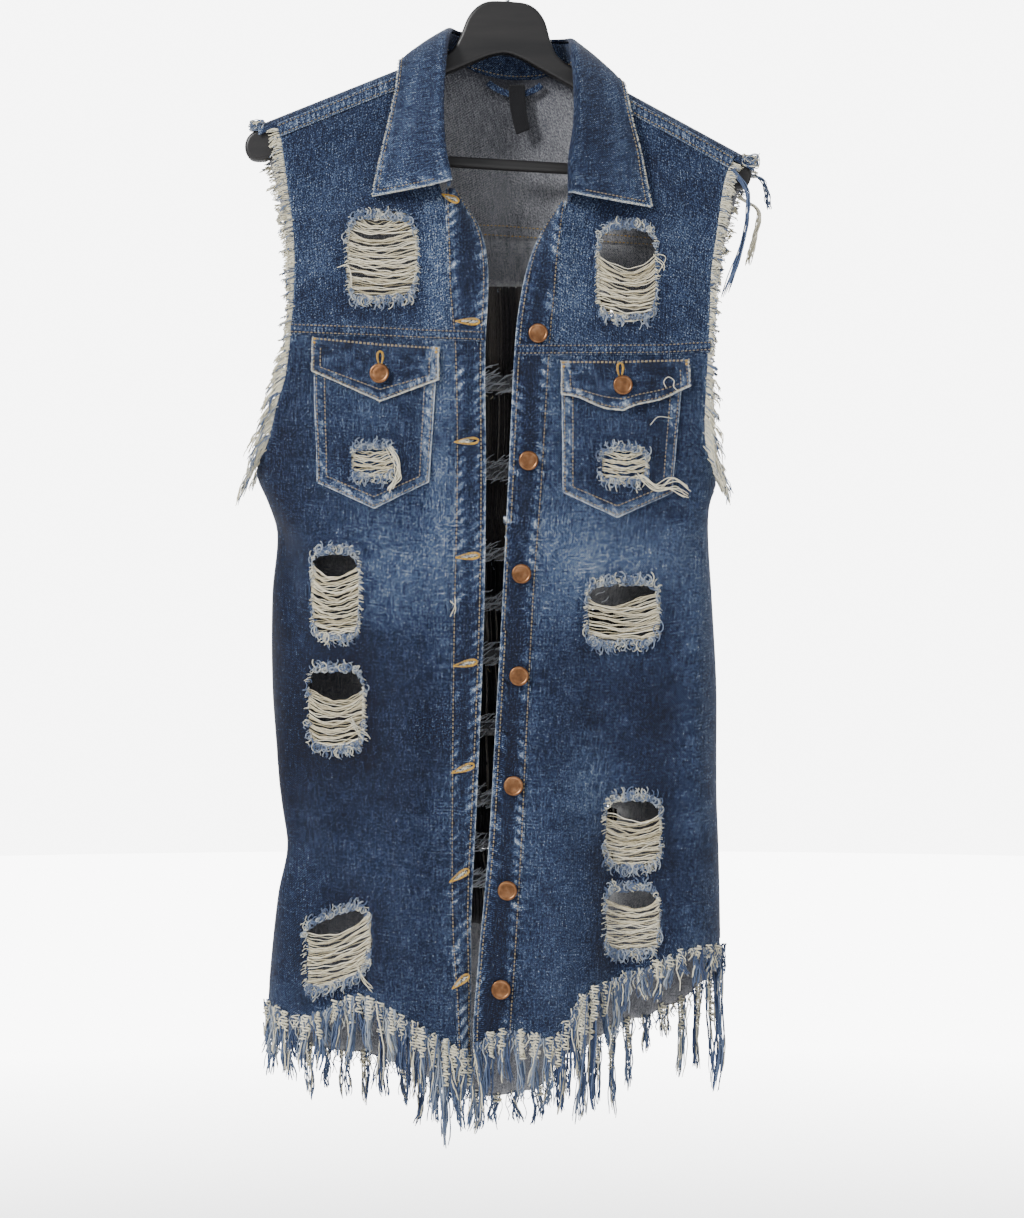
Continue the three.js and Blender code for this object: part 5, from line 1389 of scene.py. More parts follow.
# Frayed armholes: short crimped yarns combed off the raw edge, gathered into drooping locks under the arm

combReach = {  # drop, how far the combed yarns reach
    "left": np.array([
        [150, 11], [190, 12], [250, 13], [300, 10], [335, 7], [360, 8], [380, 17], [402, 24],
        [440, 24], [480, 20],
    ]),
    "right": np.array([[150, 11], [190, 12], [250, 12], [300, 9], [335, 7], [385, 7], [420, 12], [480, 22]]),
}
tailRows = [  # side, face, share along the edge, then three places on the way down, and a tint
    ("right", "front", 0.02, (205, -15, -236), (201, -17, -275), (185, -19, -322), 0.4),
    ("right", "back", 0.02, (220, 14, -218), (224, 15, -229), (226, 15, -243), 0.46),
    ("right", "back", 0.11, (217, 17, -245), (214, 18, -266), (209, 18, -291), 0.88),
]
knotRows = [  # side, centre, and spread of the tangled ends at each shoulder's tip
    ("left", (-223, -3, -174), (7, 7, 5)), ("right", (208, -5, -205), (8, 7, 6)),
]


def smoothPath(points, steps):
    points = np.array(points, float)
    rows = np.column_stack([np.arange(len(points)), points])
    t = np.linspace(0, len(points) - 1, steps)
    return stack(*[columnAt(rows, k, t) for k in (1, 2, 3)])


def armWays(lateral, low):
    return unit(np.concatenate([lateral * lerp(1, 0.7, low), 0 * low, lerp(-0.12, -0.6, low)], axis=-1))


def armFringe(side, face, seed):
    dice = np.random.default_rng(seed)
    lateral = halves[side]["lateral"]
    front = face == "front"
    names = ["yoke_front_" + side, "front_" + side] if front else ["yoke_back", "back"]
    last = -1 if front or side == "right" else 0
    upper, lower = (skins[n]["points"][:, last] for n in names)
    if not front:
        upper = upper[upper[:, 1] > 9]
    lower = lower[lower[:, 2] > halves[side]["foot"] + 4]
    edge = np.concatenate([upper, lower])
    count = 560 if front else 320
    roots = alongLine(edge, np.sort(dice.uniform(0, 1, count)))[:, None]
    z = roots[..., 2:]
    low = np.clip((-z - 330) / 130, 0, 1)
    size = columnAt(combReach[side], 1, -z) * dice.uniform(0.72, 1.12, (count, 1, 1)) * (1 if front else 0.6)
    s = np.linspace(0, 1, 7)[None, :, None]
    kink = dice.uniform(0, 6.3, (count, 1, 3))
    paths = roots + armWays(lateral, low) * (size * s * (1 - 0.2 * s) - 1.2)
    paths = paths - np.array([0, 0, 1.0]) * (lerp(0.16, 0.55, low) * size * s * s)
    waves = np.sin(np.array([5, 5, 4]) * s + kink) * np.array([0.5, 1.5, 1.0])
    gather = 2.2 * np.sin(2 * np.pi * z / 17 + 2 * np.sin(z / 23)) * np.array([0, 0, 1.0])
    paths = paths + (waves + gather) * s
    tint = np.where(dice.uniform(0, 1, count) < 0.9, 0.86, 0.5) + dice.uniform(-0.1, 0.08, count)
    sets = [(paths, dice.uniform(0.4, 0.68, count), tint)]
    locks = 24 if front else 16
    number = np.arange(locks)
    lockRoots = alongLine(edge, (number + 0.5) / locks)[:, None]
    lz = lockRoots[..., 2:]
    lockLow = np.clip((-lz - 330) / 130, 0, 1)
    n = number[:, None, None]
    long = 6 + 12 * ramp((-375 - lz) / 30) + 13 * ramp((-415 - lz) / 30) + 2 * ((n * 5) % 3)
    long = long * (1.15 if side == "left" else 0.85) * (1 if front else 0.7)
    t = np.linspace(0, 1, 11)[None, :, None]
    cores = lockRoots + armWays(lateral, lockLow) * long * t * (1 - 0.3 * t)
    cores = cores - np.array([0, 0, 0.55]) * long * t * t
    sway = [2.2 * np.sin(n * 1.7 + 2 * t) * t, 1.6 * np.sin(n * 2.3) * t, 0 * n * t]
    cores = cores + np.concatenate(sway, axis=-1)
    grey = np.where(dice.uniform(0, 1, (locks, 8)) < 0.6, 0.84, 0.48) + dice.uniform(-0.12, 0.1, (locks, 8))
    sets.append(bundle(cores, 8, 6.5, 3.6, 0.54, grey, dice, 0.9, 0.1))
    for where, which, at, a, b, c, tone in tailRows:
        if where == side and which == face:
            core = smoothPath([alongLine(edge, at), a, b, c], 26)[None]
            tones = dice.uniform(-0.12, 0.12, (1, 15)) + tone
            sets.append(bundle(core, 15, 4.4, 3.6, 0.55, tones, dice, 3, 0.05, 0.9))
    for where, centre, spread in knotRows:
        if where == side and front:
            sets.append(tangle(centre, spread, 46, dice))
    name = "armhole_fringe_" + face + "_" + side
    return addYarns(name, sets, looseYarn, "yarn", [name])


def tangle(centre, spread, count, dice):
    # loops of loose ends knotted together: each is a bent ring about the knot
    t = np.linspace(0, 1, 20)[None, :, None]
    phase = dice.uniform(0, 6.3, (count, 1, 3))
    turns = dice.uniform(2.5, 7, (count, 1, 3))
    loops = np.sin(turns * t + phase) * np.array(spread) * dice.uniform(0.5, 1.0, (count, 1, 1))
    tint = np.where(dice.uniform(0, 1, count) < 0.4, 0.84, 0.45) + dice.uniform(-0.1, 0.1, count)
    return loops + np.array(centre, float), dice.uniform(0.35, 0.6, count), tint


for side in halves:
    front = armFringe(side, "front", 330 + halves[side]["lateral"])
    behind = armFringe(side, "back", 340 + halves[side]["lateral"])
    extras["yoke_front_" + side].append(front)
    extras.setdefault("yoke_back", []).append(behind)


def slitFray():
    # frayed ends all along the slashes of the back, most of them hanging
    dice = np.random.default_rng(360)
    sets = []
    for top, bottom, wide in slitRows:
        middle, rise = (top + bottom) / 2, (bottom - top) / 2
        count = 110
        turn = dice.uniform(0, 2 * np.pi, (count, 1))
        u = np.cos(turn)
        sag = 0.35 * rise * (1 - u * u) - 0.2 * rise
        v = 0.86 * rise * np.sign(np.sin(turn)) * np.abs(np.sin(turn)) ** 0.8
        s = np.linspace(0, 1, 5)[None, :]
        into = dice.uniform(-0.6, 1, (count, 1)) * dice.uniform(2, 8, (count, 1))
        x = slitCentre + wide * u + 1.8 * np.sin(5 * s + dice.uniform(0, 6.3, (count, 1))) * s
        z = -middle - sag + v - np.sign(v) * into * s - 2.5 * s * s
        out = 0.7 + dice.uniform(-2.6, 2.4, (count, 1)) * s
        sets.append((onCloth(x, z, out, 1), dice.uniform(0.3, 0.55, count), dice.uniform(0.55, 0.95, count)))
    return addYarns("back_fray", sets, looseYarn, "yarn")


def slitEdges(u, top, bottom):
    # a slash's upper and lower edge at a share u of its half width
    middle, rise = (top + bottom) / 2, (bottom - top) / 2
    sag = 0.35 * rise * (1 - u * u) - 0.2 * rise
    half = 0.86 * rise * (1 - u * u) ** 0.4
    return -middle - sag + half, -middle - sag - half


curtain = {
    "spacing": 0.95, "radius": (0.82, 0.95), "drift": 3.2,
    "pale": 0.06,  # share of the yarns that stay nearly white
    "upper": 0.46, "lower": 0.06,  # tints of the three upper slashes and of those below: painted shade, grey-brown above, near black below
}


def slitShadeCurtain():
    # dark yarns hung across each slash, side by side in a close curtain: painted shade that fills the slashes,
    # grey-brown above and near black below
    dice = np.random.default_rng(370)
    s = np.linspace(0, 1, 5)[None, :]
    sets = []
    for number, (top, bottom, wide) in enumerate(slitRows):
        x = np.arange(-0.985 * wide, 0.985 * wide, curtain["spacing"])[:, None] + slitCentre
        x = x + dice.uniform(-0.1, 0.1, x.shape)
        upper, lower = slitEdges((x - slitCentre) / wide, top, bottom)
        clump = softNoise(x + 300, number * 9, 7, 371)
        long = (upper - lower) * (1.06 + dice.uniform(0, 0.05, x.shape)) + 2
        z = upper + 1 - long * s
        drift = curtain["drift"] * softNoise(x + 300, z, 42, 375) + 0.6 * softNoise(x + 300, z, 16, 373)
        x = x + drift * np.sin(2.2 * s)
        out = 0.4 - 1.2 * s + 1.4 * softNoise(x + 300, z, 11, 372) * s
        pale = dice.uniform(0, 1, len(x)) < curtain["pale"]
        tone = curtain["upper" if number < 3 else "lower"]
        tint = np.where(pale, 0.78, tone + 0.2 * clump[:, 0] + dice.uniform(-0.1, 0.1, len(x)))
        out = out + dice.uniform(-0.8, 0.4, (len(x), 1))
        sets.append((onCloth(x, z, out, 1), dice.uniform(*curtain["radius"], len(x)), tint))
    return addYarns("back_shade_curtain", sets, shadeYarn, "yarn")


def strapCords():
    # the straps between slashes are frayed pale: loose cotton lies across them on the inner side
    dice = np.random.default_rng(380)
    sets = []
    for upper, lower in zip(slitRows[:-1], slitRows[1:]):
        wide = lerp(upper[2], lower[2], 0.5)
        count = 90
        u = dice.uniform(-0.85, 0.85, (count, 1))
        between = (dice.uniform(-52, 24, (count, 1)) - slitCentre) / wide
        u = np.where(np.arange(count)[:, None] < 74, between, u)
        high = slitEdges(u, *upper[:2])[1] + 1
        low = slitEdges(u, *lower[:2])[0] - 1
        s = np.linspace(0, 1, 6)[None, :]
        rise = dice.uniform(0, 1, (count, 1))
        x = slitCentre + wide * u + dice.uniform(6, 16, (count, 1)) * s
        climb = 0.28 * dice.uniform(0.8, 2.2, (count, 1)) * 12 * (s - 0.5)
        z = lerp(low, high, rise) + climb + 0.9 * np.sin(5 * s + rise * 20)
        out = -vest["cloth"] - 0.7 - dice.uniform(0, 3.4, (count, 1)) * np.sin(np.pi * s)
        sets.append((onCloth(x, z, out, 1), dice.uniform(0.45, 0.75, count), dice.uniform(0.62, 0.78, count)))
    return addYarns("strap_cords", sets, bleachedYarn, "yarn")


sideSeamRows = [(1, -484, -925, -1), (2, -492, -884, 1)]  # column of sideRows, top, end, which way is out


def sideSeams():
    # the felled edge that joins front and back under each arm, from the armhole's foot to the hem
    paths = []
    for column, top, end, lateral in sideSeamRows:
        z = np.linspace(top, end, 60)
        paths.append(stack(columnAt(sideRows, column, -z) + 0.3 * lateral, 0.2, z))
    return addYarns("side_seams", [(np.array(paths), 2.0, 0.24)], looseYarn, "denim")


extras["back"] += [slitFray(), slitShadeCurtain(), strapCords(), sideSeams()]
print("armholes and slits frayed")

# Topstitching: short raised stitches along rows given as shares of a piece's grid

stitch = {"pitch": 3.4, "long": 2.05, "radius": 0.6, "rise": 0.42}


def onSkin(name, down, across):
    # blend of the four grid points round each place
    points, normals = skins[name]["points"], skins[name]["normals"]
    rows, columns = points.shape[:2]
    a, b = np.clip(down, 0, 1) * (rows - 1), np.clip(across, 0, 1) * (columns - 1)
    i, j = np.minimum(a.astype(int), rows - 2), np.minimum(b.astype(int), columns - 2)
    s, t = (a - i)[:, None], (b - j)[:, None]

    def mix(grid):
        return lerp(lerp(grid[i, j], grid[i + 1, j], s), lerp(grid[i, j + 1], grid[i + 1, j + 1], s), t)

    return mix(points), unit(mix(normals))


def stitchRow(line, normals, dice, tint):
    run = runLengths(line[None], 1)[0]
    count = max(int(run[-1] / stitch["pitch"]), 2)
    starts = np.arange(count) * run[-1] / count
    s = np.array([0, 0.25, 0.75, 1.0])
    want = starts[:, None] + s * stitch["long"]
    paths, out = readLine(want, run, line), readLine(want, run, normals)
    bulge = stitch["rise"] * np.array([-0.6, 1, 1, -0.6])
    paths = paths + out * bulge[:, None]
    sizes = stitch["radius"] * np.array([0.6, 1, 1, 0.6]) * np.ones((count, 1))
    return paths, sizes, tint - 0.1 + dice.uniform(-0.16, 0.16, count)


def seamRow(name, down, across, tint, dice, under=0):
    # under is the cloth's thickness where the row shows on its inner side
    down, across = np.broadcast_arrays(np.asarray(down, float), np.asarray(across, float))
    line, normals = onSkin(name, down, across)
    if under:
        line, normals = line - normals * under, -normals
    return stitchRow(line, normals, dice, tint)


def insetShare(name, inset, fromLast, down):
    # the share across a piece's grid that lies a given number of mm in from one of its sides
    wide = runLengths(skins[name]["points"], 1)
    rows = np.clip((down * (len(wide) - 1)).astype(int), 0, len(wide) - 1)
    share = np.linspace(0, 1, wide.shape[1])
    want = wide[rows, -1] - inset if fromLast else np.full(len(rows), float(inset))
    return np.array([np.interp(w, wide[r], share) for w, r in zip(want, rows)])


def gridShare(name, axis, want):
    # the share of a piece's rows or columns at a distance in mm, counted back from the far side if negative
    runs = runLengths(skins[name]["points"], axis)
    run = runs.mean(axis=1 - axis)
    want = want if want >= 0 else run[-1] + want
    return float(np.interp(want, run, np.linspace(0, 1, len(run))))


def outlineRow(name, inset, dice, tint, start=0.12):
    # round the sewn edge of a pocket or flap: down one side, along the pointed foot, and up the other
    a, far, b = gridShare(name, 1, inset), gridShare(name, 1, -inset), gridShare(name, 0, -inset)
    down = np.concatenate([np.linspace(start, b, 60), np.full(90, b), np.linspace(b, start, 60)])
    across = np.concatenate([np.full(60, a), np.linspace(a, far, 90), np.full(60, far)])
    return seamRow(name, down, across, tint, dice)


def stitchSide(side):
    dice = np.random.default_rng(400 + halves[side]["lateral"])
    t = np.linspace(0, 1, 400)
    sets = []
    for name in ("placket_upper_" + side, "placket_lower_" + side):
        sets.append(seamRow(name, t, insetShare(name, 4.2, True, t), 0.55, dice))
        sets.append(seamRow(name, t, insetShare(name, 2.2, False, t), 0.5, dice))
    for name in ("yoke_seam_" + side, "shoulder_seam_" + side):
        sets.append(seamRow(name, 0 * t + 0.17, t, 0.45, dice))
        sets.append(seamRow(name, 0 * t + 0.83, t, 0.45, dice))
    sets.append(outlineRow("pocket_" + side, 2.2, dice, 0.5))
    sets.append(outlineRow("pocket_" + side, 9.5, dice, 0.55))
    sets.append(outlineRow("flap_" + side, 2.0, dice, 0.5, 0.02))
    sets.append(outlineRow("flap_" + side, 8.0, dice, 0.55, 0.3))
    for inset in (1.2, 1.9, 2.6, -1.2, -1.9, -2.6):  # bartacks at the flap's corners
        down = np.linspace(0.03, 0.26, 12)
        sets.append(seamRow("flap_" + side, down, gridShare("flap_" + side, 1, inset) + 0 * down, 0.95, dice))
    for inset in (1.4, 2.2):
        sets.append(seamRow("flap_" + side, 0 * t + gridShare("flap_" + side, 0, inset), t, 0.6, dice))
    piece = addYarns("stitching_" + side, sets, topThread, "yarn")
    extras["front_" + side].append(piece)


def stitchBack():
    dice = np.random.default_rng(410)
    t = np.linspace(0, 1, 500)
    sets = []
    for tint, under in ((0.5, 0), (0.75, vest["cloth"])):  # outside, then inside
        for inset in (2.2, 8.5):
            down = 0 * t + gridShare("yoke_back", 0, -inset)
            sets.append(seamRow("yoke_back", down, t, tint, dice, under))
    extras["yoke_back"].append(addYarns("stitching_back", sets, topThread, "yarn"))
    ends = np.linspace(0, 1, 60)
    low = gridShare("collar_leaf", 0, -4.2)
    near, far = (gridShare("collar_leaf", 1, inset) for inset in (4.2, -4.2))
    sets = [seamRow("collar_leaf", 0 * t + low, lerp(near, far, t), 0.5, dice)]
    for side in (near, far):
        sets.append(seamRow("collar_leaf", lerp(0.3, low, ends), 0 * ends + side, 0.5, dice))
    sets.append(seamRow("collar_stand", 0 * t + 0.12, t, 0.5, dice))
    extras["collar_leaf"] = [addYarns("stitching_collar", sets, topThread, "yarn")]


# White ends worn loose along the edges of the flaps and the collar


def edgeWear(name, down, across, per, dice):
    line, normals = onSkin(name, down, across)
    run = runLengths(line[None], 1)[0]
    count = int(run[-1] * per)
    want = dice.uniform(0, run[-1], count)
    place = readLine(want, run, line)
    out = unit(readLine(want, run, normals))
    ahead = readLine(want + 1, run, line) - place
    away = np.cross(unit(ahead), out) * np.sign(per)
    s = np.linspace(0, 1, 4)[None, :, None]
    reach = dice.uniform(0.4, 1.7, (count, 1, 1))
    drift = dice.uniform(-1.6, 1.6, (count, 1, 1)) * unit(ahead)[:, None]
    rise = out[:, None] * (0.1 + 0.4 * np.sin(np.pi * s))
    paths = place[:, None] + away[:, None] * (reach * s - 0.9) + drift * s + rise
    return paths, dice.uniform(0.2, 0.36, count), dice.uniform(0.66, 0.95, count)


def wornEnds():
    dice = np.random.default_rng(415)
    t = np.linspace(0, 1, 300)
    for side in halves:
        name = "flap_" + side
        sets = [edgeWear(name, 0 * t + 1, t, 2.2, dice)]
        sets += [edgeWear(name, t, 0 * t + end, 1.2, dice) for end in (0, 1)]
        extras.setdefault(name, []).append(addYarns("worn_" + name, sets, looseYarn, "yarn"))
    sets = [edgeWear("collar_leaf", 0 * t + 1, t, 1.3, dice)]
    sets += [edgeWear("collar_leaf", lerp(0.3, 1, t), 0 * t + end, 1.3, dice) for end in (0, 1)]
    extras["collar_leaf"].append(addYarns("worn_collar", sets, looseYarn, "yarn"))


# Buttonholes: gold stitches set round a slot

buttonholeRows = [  # x, drop, lean in degrees, half length
    (-53, 241, -24, 8), (-38, 349, -2, 10.5), (-39, 452, 4, 10.5), (-38, 551, 6, 10.5),
    (-40, 643, 11, 10.5), (-42, 733, 20, 10.5), (-45, 824.5, 33, 10), (-44, 915, 40, 9.5),
]
flapHoleRows = [(-113, 382, 90, 7.5), (92.5, 392, 90, 7.5)]


def alongSlot(x0, drop, lean, u, v):
    # places by their distances along and across a leaning slot
    angle = math.radians(lean)
    x = x0 + u * math.cos(angle) - v * math.sin(angle)
    return x, -drop + u * math.sin(angle) + v * math.cos(angle)


def buttonhole(x0, drop, lean, half, lift, dice):
    # stitches set round a slot, pointed at the seam's end and round at the edge's
    count = 60
    turn = np.linspace(0, 2 * np.pi, count, endpoint=False)[:, None]
    s = np.linspace(0, 1, 4)[None, :]
    grow = lerp(0.45, 1.0, s)
    u = (half - 1.6 + 1.6 * grow) * np.cos(turn) + dice.uniform(-0.2, 0.2, (count, 1))
    v = 4.7 * grow * np.sin(turn) * (0.62 + 0.38 * np.cos(turn))
    x, z = alongSlot(x0, drop, lean, u, v)
    skin = surface(x, z, lift)
    paths = skin["points"] + skin["normals"] * (0.5 * np.sin(np.pi * s) + 0.1)[..., None]
    return paths, 0.5, dice.uniform(0.72, 1.0, count)


def slotFray(x0, drop, lean, half, lift, dice):
    # pale ends that fill the slot
    count = 14
    s = np.linspace(0, 1, 8)[None, :]
    start = dice.uniform(-0.75, 0.5, (count, 1)) * half
    u = start + dice.uniform(2, 5, (count, 1)) * s
    v = dice.uniform(-0.9, 0.9, (count, 1)) + 0.6 * np.sin(6 * s + dice.uniform(0, 6.3, (count, 1)))
    x, z = alongSlot(x0, drop, lean, u, v)
    paths = onCloth(x, z, lift + 0.25 + 0.5 * np.sin(np.pi * s))
    return paths, dice.uniform(0.25, 0.4, count), dice.uniform(0.6, 0.95, count)


def buttonholes():
    dice = np.random.default_rng(420)
    onPlacket = [buttonhole(*row, vest["doubled"] + 0.3, dice) for row in buttonholeRows]
    onFlaps = [buttonhole(*row, flapLift + flapThick + 0.5, dice) for row in flapHoleRows]
    piece = addYarns("buttonholes", onPlacket + onFlaps, topThread, "yarn")
    frayRows = [slotFray(*row, vest["doubled"] + 0.2, dice) for row in buttonholeRows]
    extras["placket_lower_left"] = [piece, addYarns("buttonhole_fray", frayRows, looseYarn, "yarn")]


# Single threads that have worked loose

strayRows = [  # count, spread, radius, tint, lift, places as x and drop
    (1, 0, 0.38, 0.95, 9.5, (131, 406), (129, 401), (133, 397), (138, 400), (137, 405), (141, 409)),
    (1, 0, 0.4, 0.8, 4.5, (118, 438), (125, 431), (137, 432)),
    (2, 2, 0.35, 0.9, 4, (-51, 588), (-49, 594), (-51, 601)),
    (5, 3, 0.42, 0.9, 5, (108, 482), (122, 492), (136, 490), (148, 499)),
    (4, 3, 0.42, 0.9, 5, (112, 484), (124, 490), (138, 484), (150, 492)),
    (7, 4, 0.42, 0.9, 5, (-106, 459), (-99, 470), (-97, 484), (-104, 495)),
    (4, 3, 0.42, 0.8, 3, (-139, 690), (-131, 702), (-122, 707)),
    (2, 1, 0.38, 0.9, 3, (-150, 302), (-142, 299), (-139, 309), (-138, 319), (-131, 321)),
    (3, 3, 0.4, 0.85, 3, (-130, 905), (-124, 914), (-119, 921)),
    (3, 3, 0.4, 0.85, 3, (124, 290), (130, 296), (128, 305)),
]


def strays():
    dice = np.random.default_rng(430)
    sets = []
    for count, spread, radius, tint, lift, *places in strayRows:
        rows = np.column_stack([np.arange(len(places)), np.array(places, float)])
        s = np.linspace(0, len(places) - 1, 26)
        kink = dice.uniform(0, 6.3, (count, 2, 1))
        x = columnAt(rows, 1, s) + spread * np.sin(1.7 * s + kink[:, 0]) * dice.uniform(0.4, 1, (count, 1))
        z = -columnAt(rows, 2, s) + spread * np.cos(1.9 * s + kink[:, 1]) * dice.uniform(0.4, 1, (count, 1))
        out = lift + 0.8 * np.sin(2.3 * s + kink[:, 0]) + 0.8
        sets.append((onCloth(x, z, out), radius, np.full(count, tint)))
    extras["front_right"].append(addYarns("stray_threads", sets, looseYarn, "yarn"))


for side in halves:
    stitchSide(side)
strays()
stitchBack()
wornEnds()
buttonholes()
print("stitching done")

# Hanging loop and blank ribbon at the back of the neck


def neckLoop():
    t = np.linspace(0, 1, 60)
    drop = 9.5 * np.sin(np.pi * t) ** 0.8
    x = lerp(-21, 26, t)
    z = -132.5 - 0.06 * x - drop
    line = stack(x, clothDepth(x, z, 1) - 5.2 - drop * 0.35 - 0.04 * np.maximum(x, 0), z)
    run = unit(np.gradient(line, axis=0))
    up = unit(np.cross(run, (0, 1, 0)))
    corner = np.linspace(0, 2 * np.pi, 16, endpoint=False)
    flat = 2.8 * np.sign(np.cos(corner)) * np.abs(np.cos(corner)) ** 0.5
    deep = 0.95 * np.sign(np.sin(corner)) * np.abs(np.sin(corner)) ** 0.5
    out = np.cross(run, up)
    points = line[:, None] + up[:, None] * flat[:, None] + out[:, None] * deep[:, None]
    index, _, quads = ringFaces(60, 16)
    caps = [index[0].tolist(), index[-1, ::-1].tolist()]
    mesh = newMesh("neck_loop", points.reshape(-1, 3), quads + caps, [denim])
    addAttribute(mesh, "fadeAndShade", 0.2 + 0.15 * softNoise(points[..., 0] * 4, points[..., 2] * 4, 9, 97))
    addUv(mesh, points.reshape(-1, 3)[:, [0, 2]] * mm)
    piece = addObject("neck_loop", mesh, "denim", "neck_loop")


def neckRibbon():
    r, c = np.linspace(0, 1, 30)[:, None], np.linspace(0, 1, 12)[None, :]
    x = lerp(-3, 11.5, c) + 7 * r * r - 3 * r * r * c
    z = -134 - 40 * r - 5 * r * (1 - c)
    y = clothDepth(x, z, 1) - 10 - 5 * r * r * (1 - 0.5 * c) + 0.5 * np.sin(3 * c + 4 * r)
    skin = skinOf(stack(x, y, z), (0, -1, 0), 1)
    skins["neck_ribbon"] = skin
    cloths = {"inside": ribbonCloth, "material": ribbonCloth}
    addCloth("neck_ribbon", skin, 0.9, 0.4 + 0 * r * c, slotName="ribbon", **cloths)


neckLoop()
neckRibbon()

# Buttons: broad rimmed heads with a shallow ring, on short shanks

buttonRows = [  # name, x, drop, base
    ("button_1", 22.3, 359.5, vest["doubled"]), ("button_2", 14.1, 469, vest["doubled"]),
    ("button_3", 8.1, 566, vest["doubled"]), ("button_4", 6, 653.5, vest["doubled"]),
    ("button_5", 1.3, 747.5, vest["doubled"]), ("button_6", -3.9, 837, vest["doubled"]),
    ("button_7", -9.4, 921.5, vest["doubled"]),
    ("button_pocket_left", -113.2, 394.5, flapLift + flapThick + 0.5),
    ("button_pocket_right", 94.2, 404.5, flapLift + flapThick + 1.6),
]
buttonProfile = np.array([  # radius, height above the cloth
    [0, 0.2], [4, 0.2], [4, 1.8], [7.2, 1.95], [7.9, 2.1], [8.4, 2.6], [8.5, 3.1], [8.3, 3.7], [7.9, 4.2],
    [7.4, 4.4], [6.9, 4.35], [6.5, 4.0], [6.1, 3.85], [5.4, 3.95], [4.6, 4.1], [3.2, 4.22], [1.6, 4.28],
    [0, 4.3],
])


def addButton(name, x, drop, base):
    # a profile turned about the cloth's own normal
    place = surface(np.array(x), np.array(-float(drop)), 0)
    normal, side = place["normals"], unit(np.cross(place["normals"], (0, 0, 1.0)))
    up = np.cross(side, normal)
    still = stack(x, clothDepth(np.array(x), np.array(-float(drop)), -1), -drop)
    centre = still + normal * (base + vest["seamGap"])
    turn = np.linspace(0, 2 * np.pi, 48, endpoint=False)
    radius, height = buttonProfile[1:-1, 0], buttonProfile[1:-1, 1]
    ring = side * np.cos(turn)[:, None] + up * np.sin(turn)[:, None]
    points = centre + ring[None] * radius[:, None, None] + normal * height[:, None, None]
    ends = np.stack([centre + normal * 0.2, centre + normal * buttonProfile[-1, 1]])
    index, after, quads = ringFaces(len(points), 48)
    foot, crown = index.size, index.size + 1
    fans = np.concatenate([
        np.stack([np.full(48, foot), index[0], after[0]], axis=1),
        np.stack([np.full(48, crown), after[-1], index[-1]], axis=1),
    ]).tolist()
    mesh = newMesh(name, np.concatenate([points.reshape(-1, 3), ends]), quads + fans, [copper])
    mesh.update()
    outer = mesh.polygons[-1].normal @ Vector(normal)
    if outer < 0:
        mesh.flip_normals()
    addObject(name, mesh, "button", name)


for row in buttonRows:
    addButton(*row)
print("buttons set")

# Hanger: flat black arms with a broad head, a round bar and a wire hook

hanger = {"thick": 14, "round": 3.2, "barZ": -207.5, "barRadius": 5, "barLong": 402, "wire": 1.9, "hook": 19}
hangerRows = np.array([  # outline of the right half, x and z
    [0, -65], [17, -65.5], [26, -70], [34, -80], [39.5, -98], [45, -110], [56, -117], [130, -151.2],
    [214, -190.6], [221, -197], [222.5, -207], [218, -217], [208, -218], [196, -214], [187, -201],
    [150, -181], [64, -138.5], [14, -114], [0, -110],
])


def leaning(points):
    x, y, z = points[..., 0], points[..., 1], points[..., 2]
    c, s = math.cos(vest["list"]), math.sin(vest["list"])
    return stack(x * c + z * s, y, -x * s + z * c)


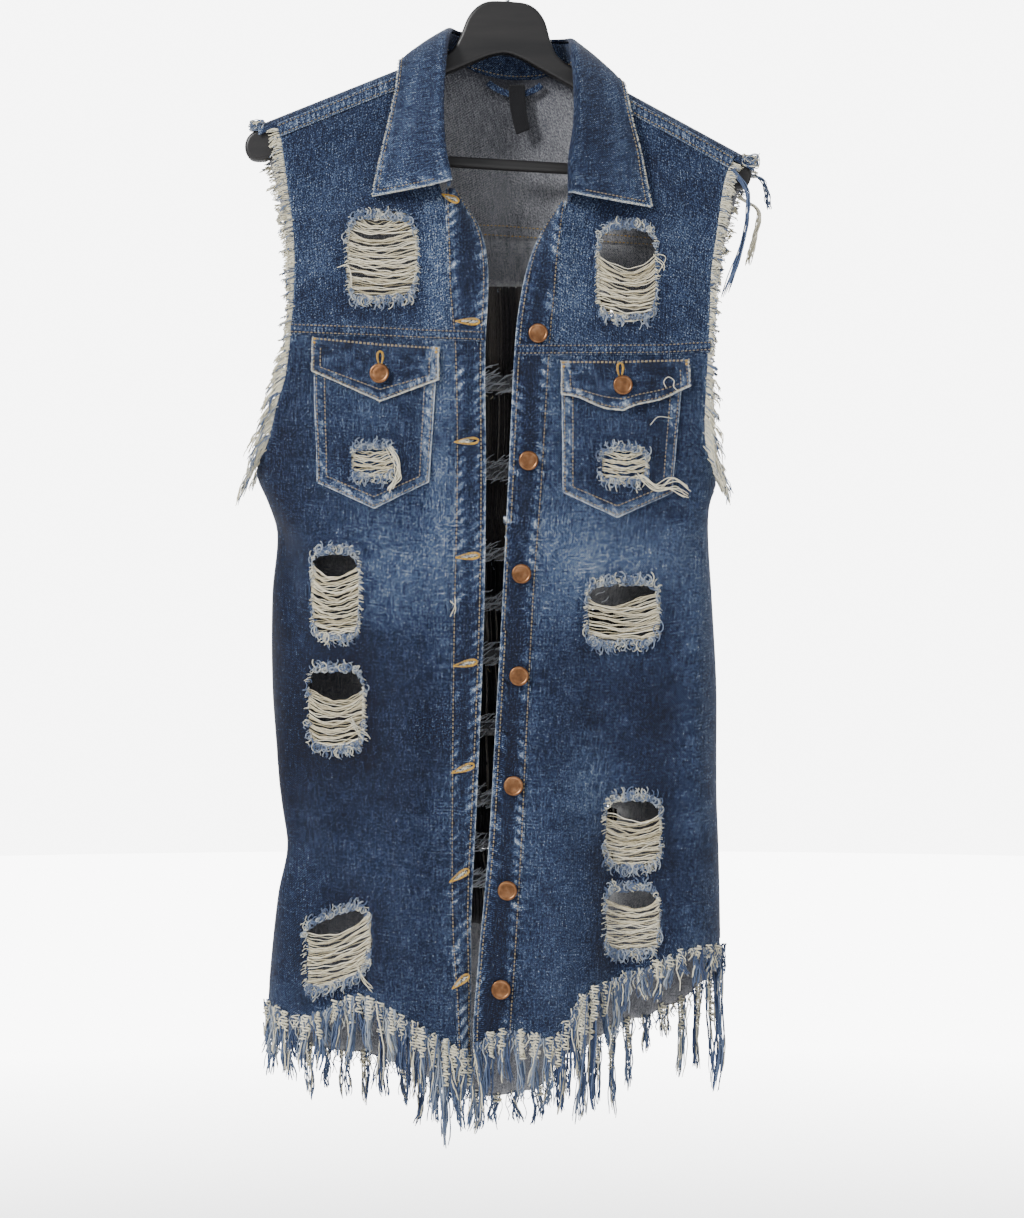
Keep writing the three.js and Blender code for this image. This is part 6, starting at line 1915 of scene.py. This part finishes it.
def hangerArms():
    # the outline is rounded by averaging, then carried over a quarter-round edge on both faces
    outline = np.concatenate([hangerRows, hangerRows[-2:0:-1] * np.array([-1, 1])])
    closed = np.concatenate([outline, outline[:1]])
    run = runLengths(stack(closed[:, 0], 0, closed[:, 1])[None], 1)[0]
    want = np.linspace(0, run[-1], 440, endpoint=False)
    line = np.stack([np.interp(want, run, closed[:, k]) for k in (0, 1)], axis=1)
    for _ in range(6):
        line = (np.roll(line, 1, axis=0) + 2 * line + np.roll(line, -1, axis=0)) / 4
    run = np.roll(line, -1, axis=0) - np.roll(line, 1, axis=0)
    inward = unit(np.stack([run[:, 1], -run[:, 0]], axis=1))
    turn = np.linspace(0, np.pi / 2, 6)
    edgeIn, edgeOut = hanger["round"] * (1 - np.sin(turn)), hanger["round"] * (1 - np.cos(turn))
    front = np.stack([edgeIn, -hanger["thick"] / 2 + edgeOut], axis=1)
    back = np.stack([edgeIn, hanger["thick"] / 2 - edgeOut], axis=1)[::-1]
    rings = np.concatenate([front, back])
    flat = line[None] + inward[None] * rings[:, 0][:, None, None]
    points = stack(flat[..., 0], rings[:, 1][:, None], flat[..., 1])
    index, _, quads = ringFaces(len(points), len(line))
    faces = quads + [index[0].tolist(), index[-1, ::-1].tolist()]
    mesh = newMesh("hanger_arms", leaning(points).reshape(-1, 3), faces, [blackWood])
    mesh.polygons[len(quads)].use_smooth = False
    mesh.polygons[len(quads) + 1].use_smooth = False
    mesh.update()
    if mesh.polygons[len(quads)].normal.y > 0:
        mesh.flip_normals()
    addObject("hanger_arms", mesh, "wood", "hanger_arms")


def roundRod(name, line, radius, material, slotName, sides=24):
    points, quads, caps, tint = tubes(leaning(line)[None], radius, np.array([0.0]), sides)
    mesh = newMesh(name, points, quads.tolist() + caps.tolist(), [material])
    mesh.update()
    addObject(name, mesh, slotName, name)


def hookLine():
    crown = -(hanger["hook"] - hanger["wire"])
    turn = np.radians(np.linspace(-38, 200, 60))
    arc = stack(hanger["hook"] * np.cos(turn), 0, crown + hanger["hook"] * np.sin(turn))
    neck = smoothPath([(0, 0, -85.5), (0, 0, -70), (0, 0, -56), (0, 0, -47), (4, 0, -39), arc[0]], 30)
    return np.concatenate([neck[:-1], arc])


hangerArms()
barHalf = hanger["barLong"] / 2
bar = stack(np.linspace(-barHalf, barHalf, 30), 0, hanger["barZ"])
roundRod("hanger_bar", bar, hanger["barRadius"], blackWood, "wood")
roundRod("hanger_hook", hookLine(), hanger["wire"], steelWire, "wire", 16)
print("hanger made")

# What each cloth piece was cut to

# metres; the yoke seams' bands are 9.7 and 9.9 mm deep, and a sheet takes 10 mm at least
shortest = 0.0105  # metres; the yoke seams' bands are 9.7 and 9.9 mm deep, and no printed length is less than this
for name, wide, long, area in cutSizes:
    long = max(long, area / wide, shortest)
    print("cut", name, round(wide * 1000), "x", round(long * 1000), "mm")
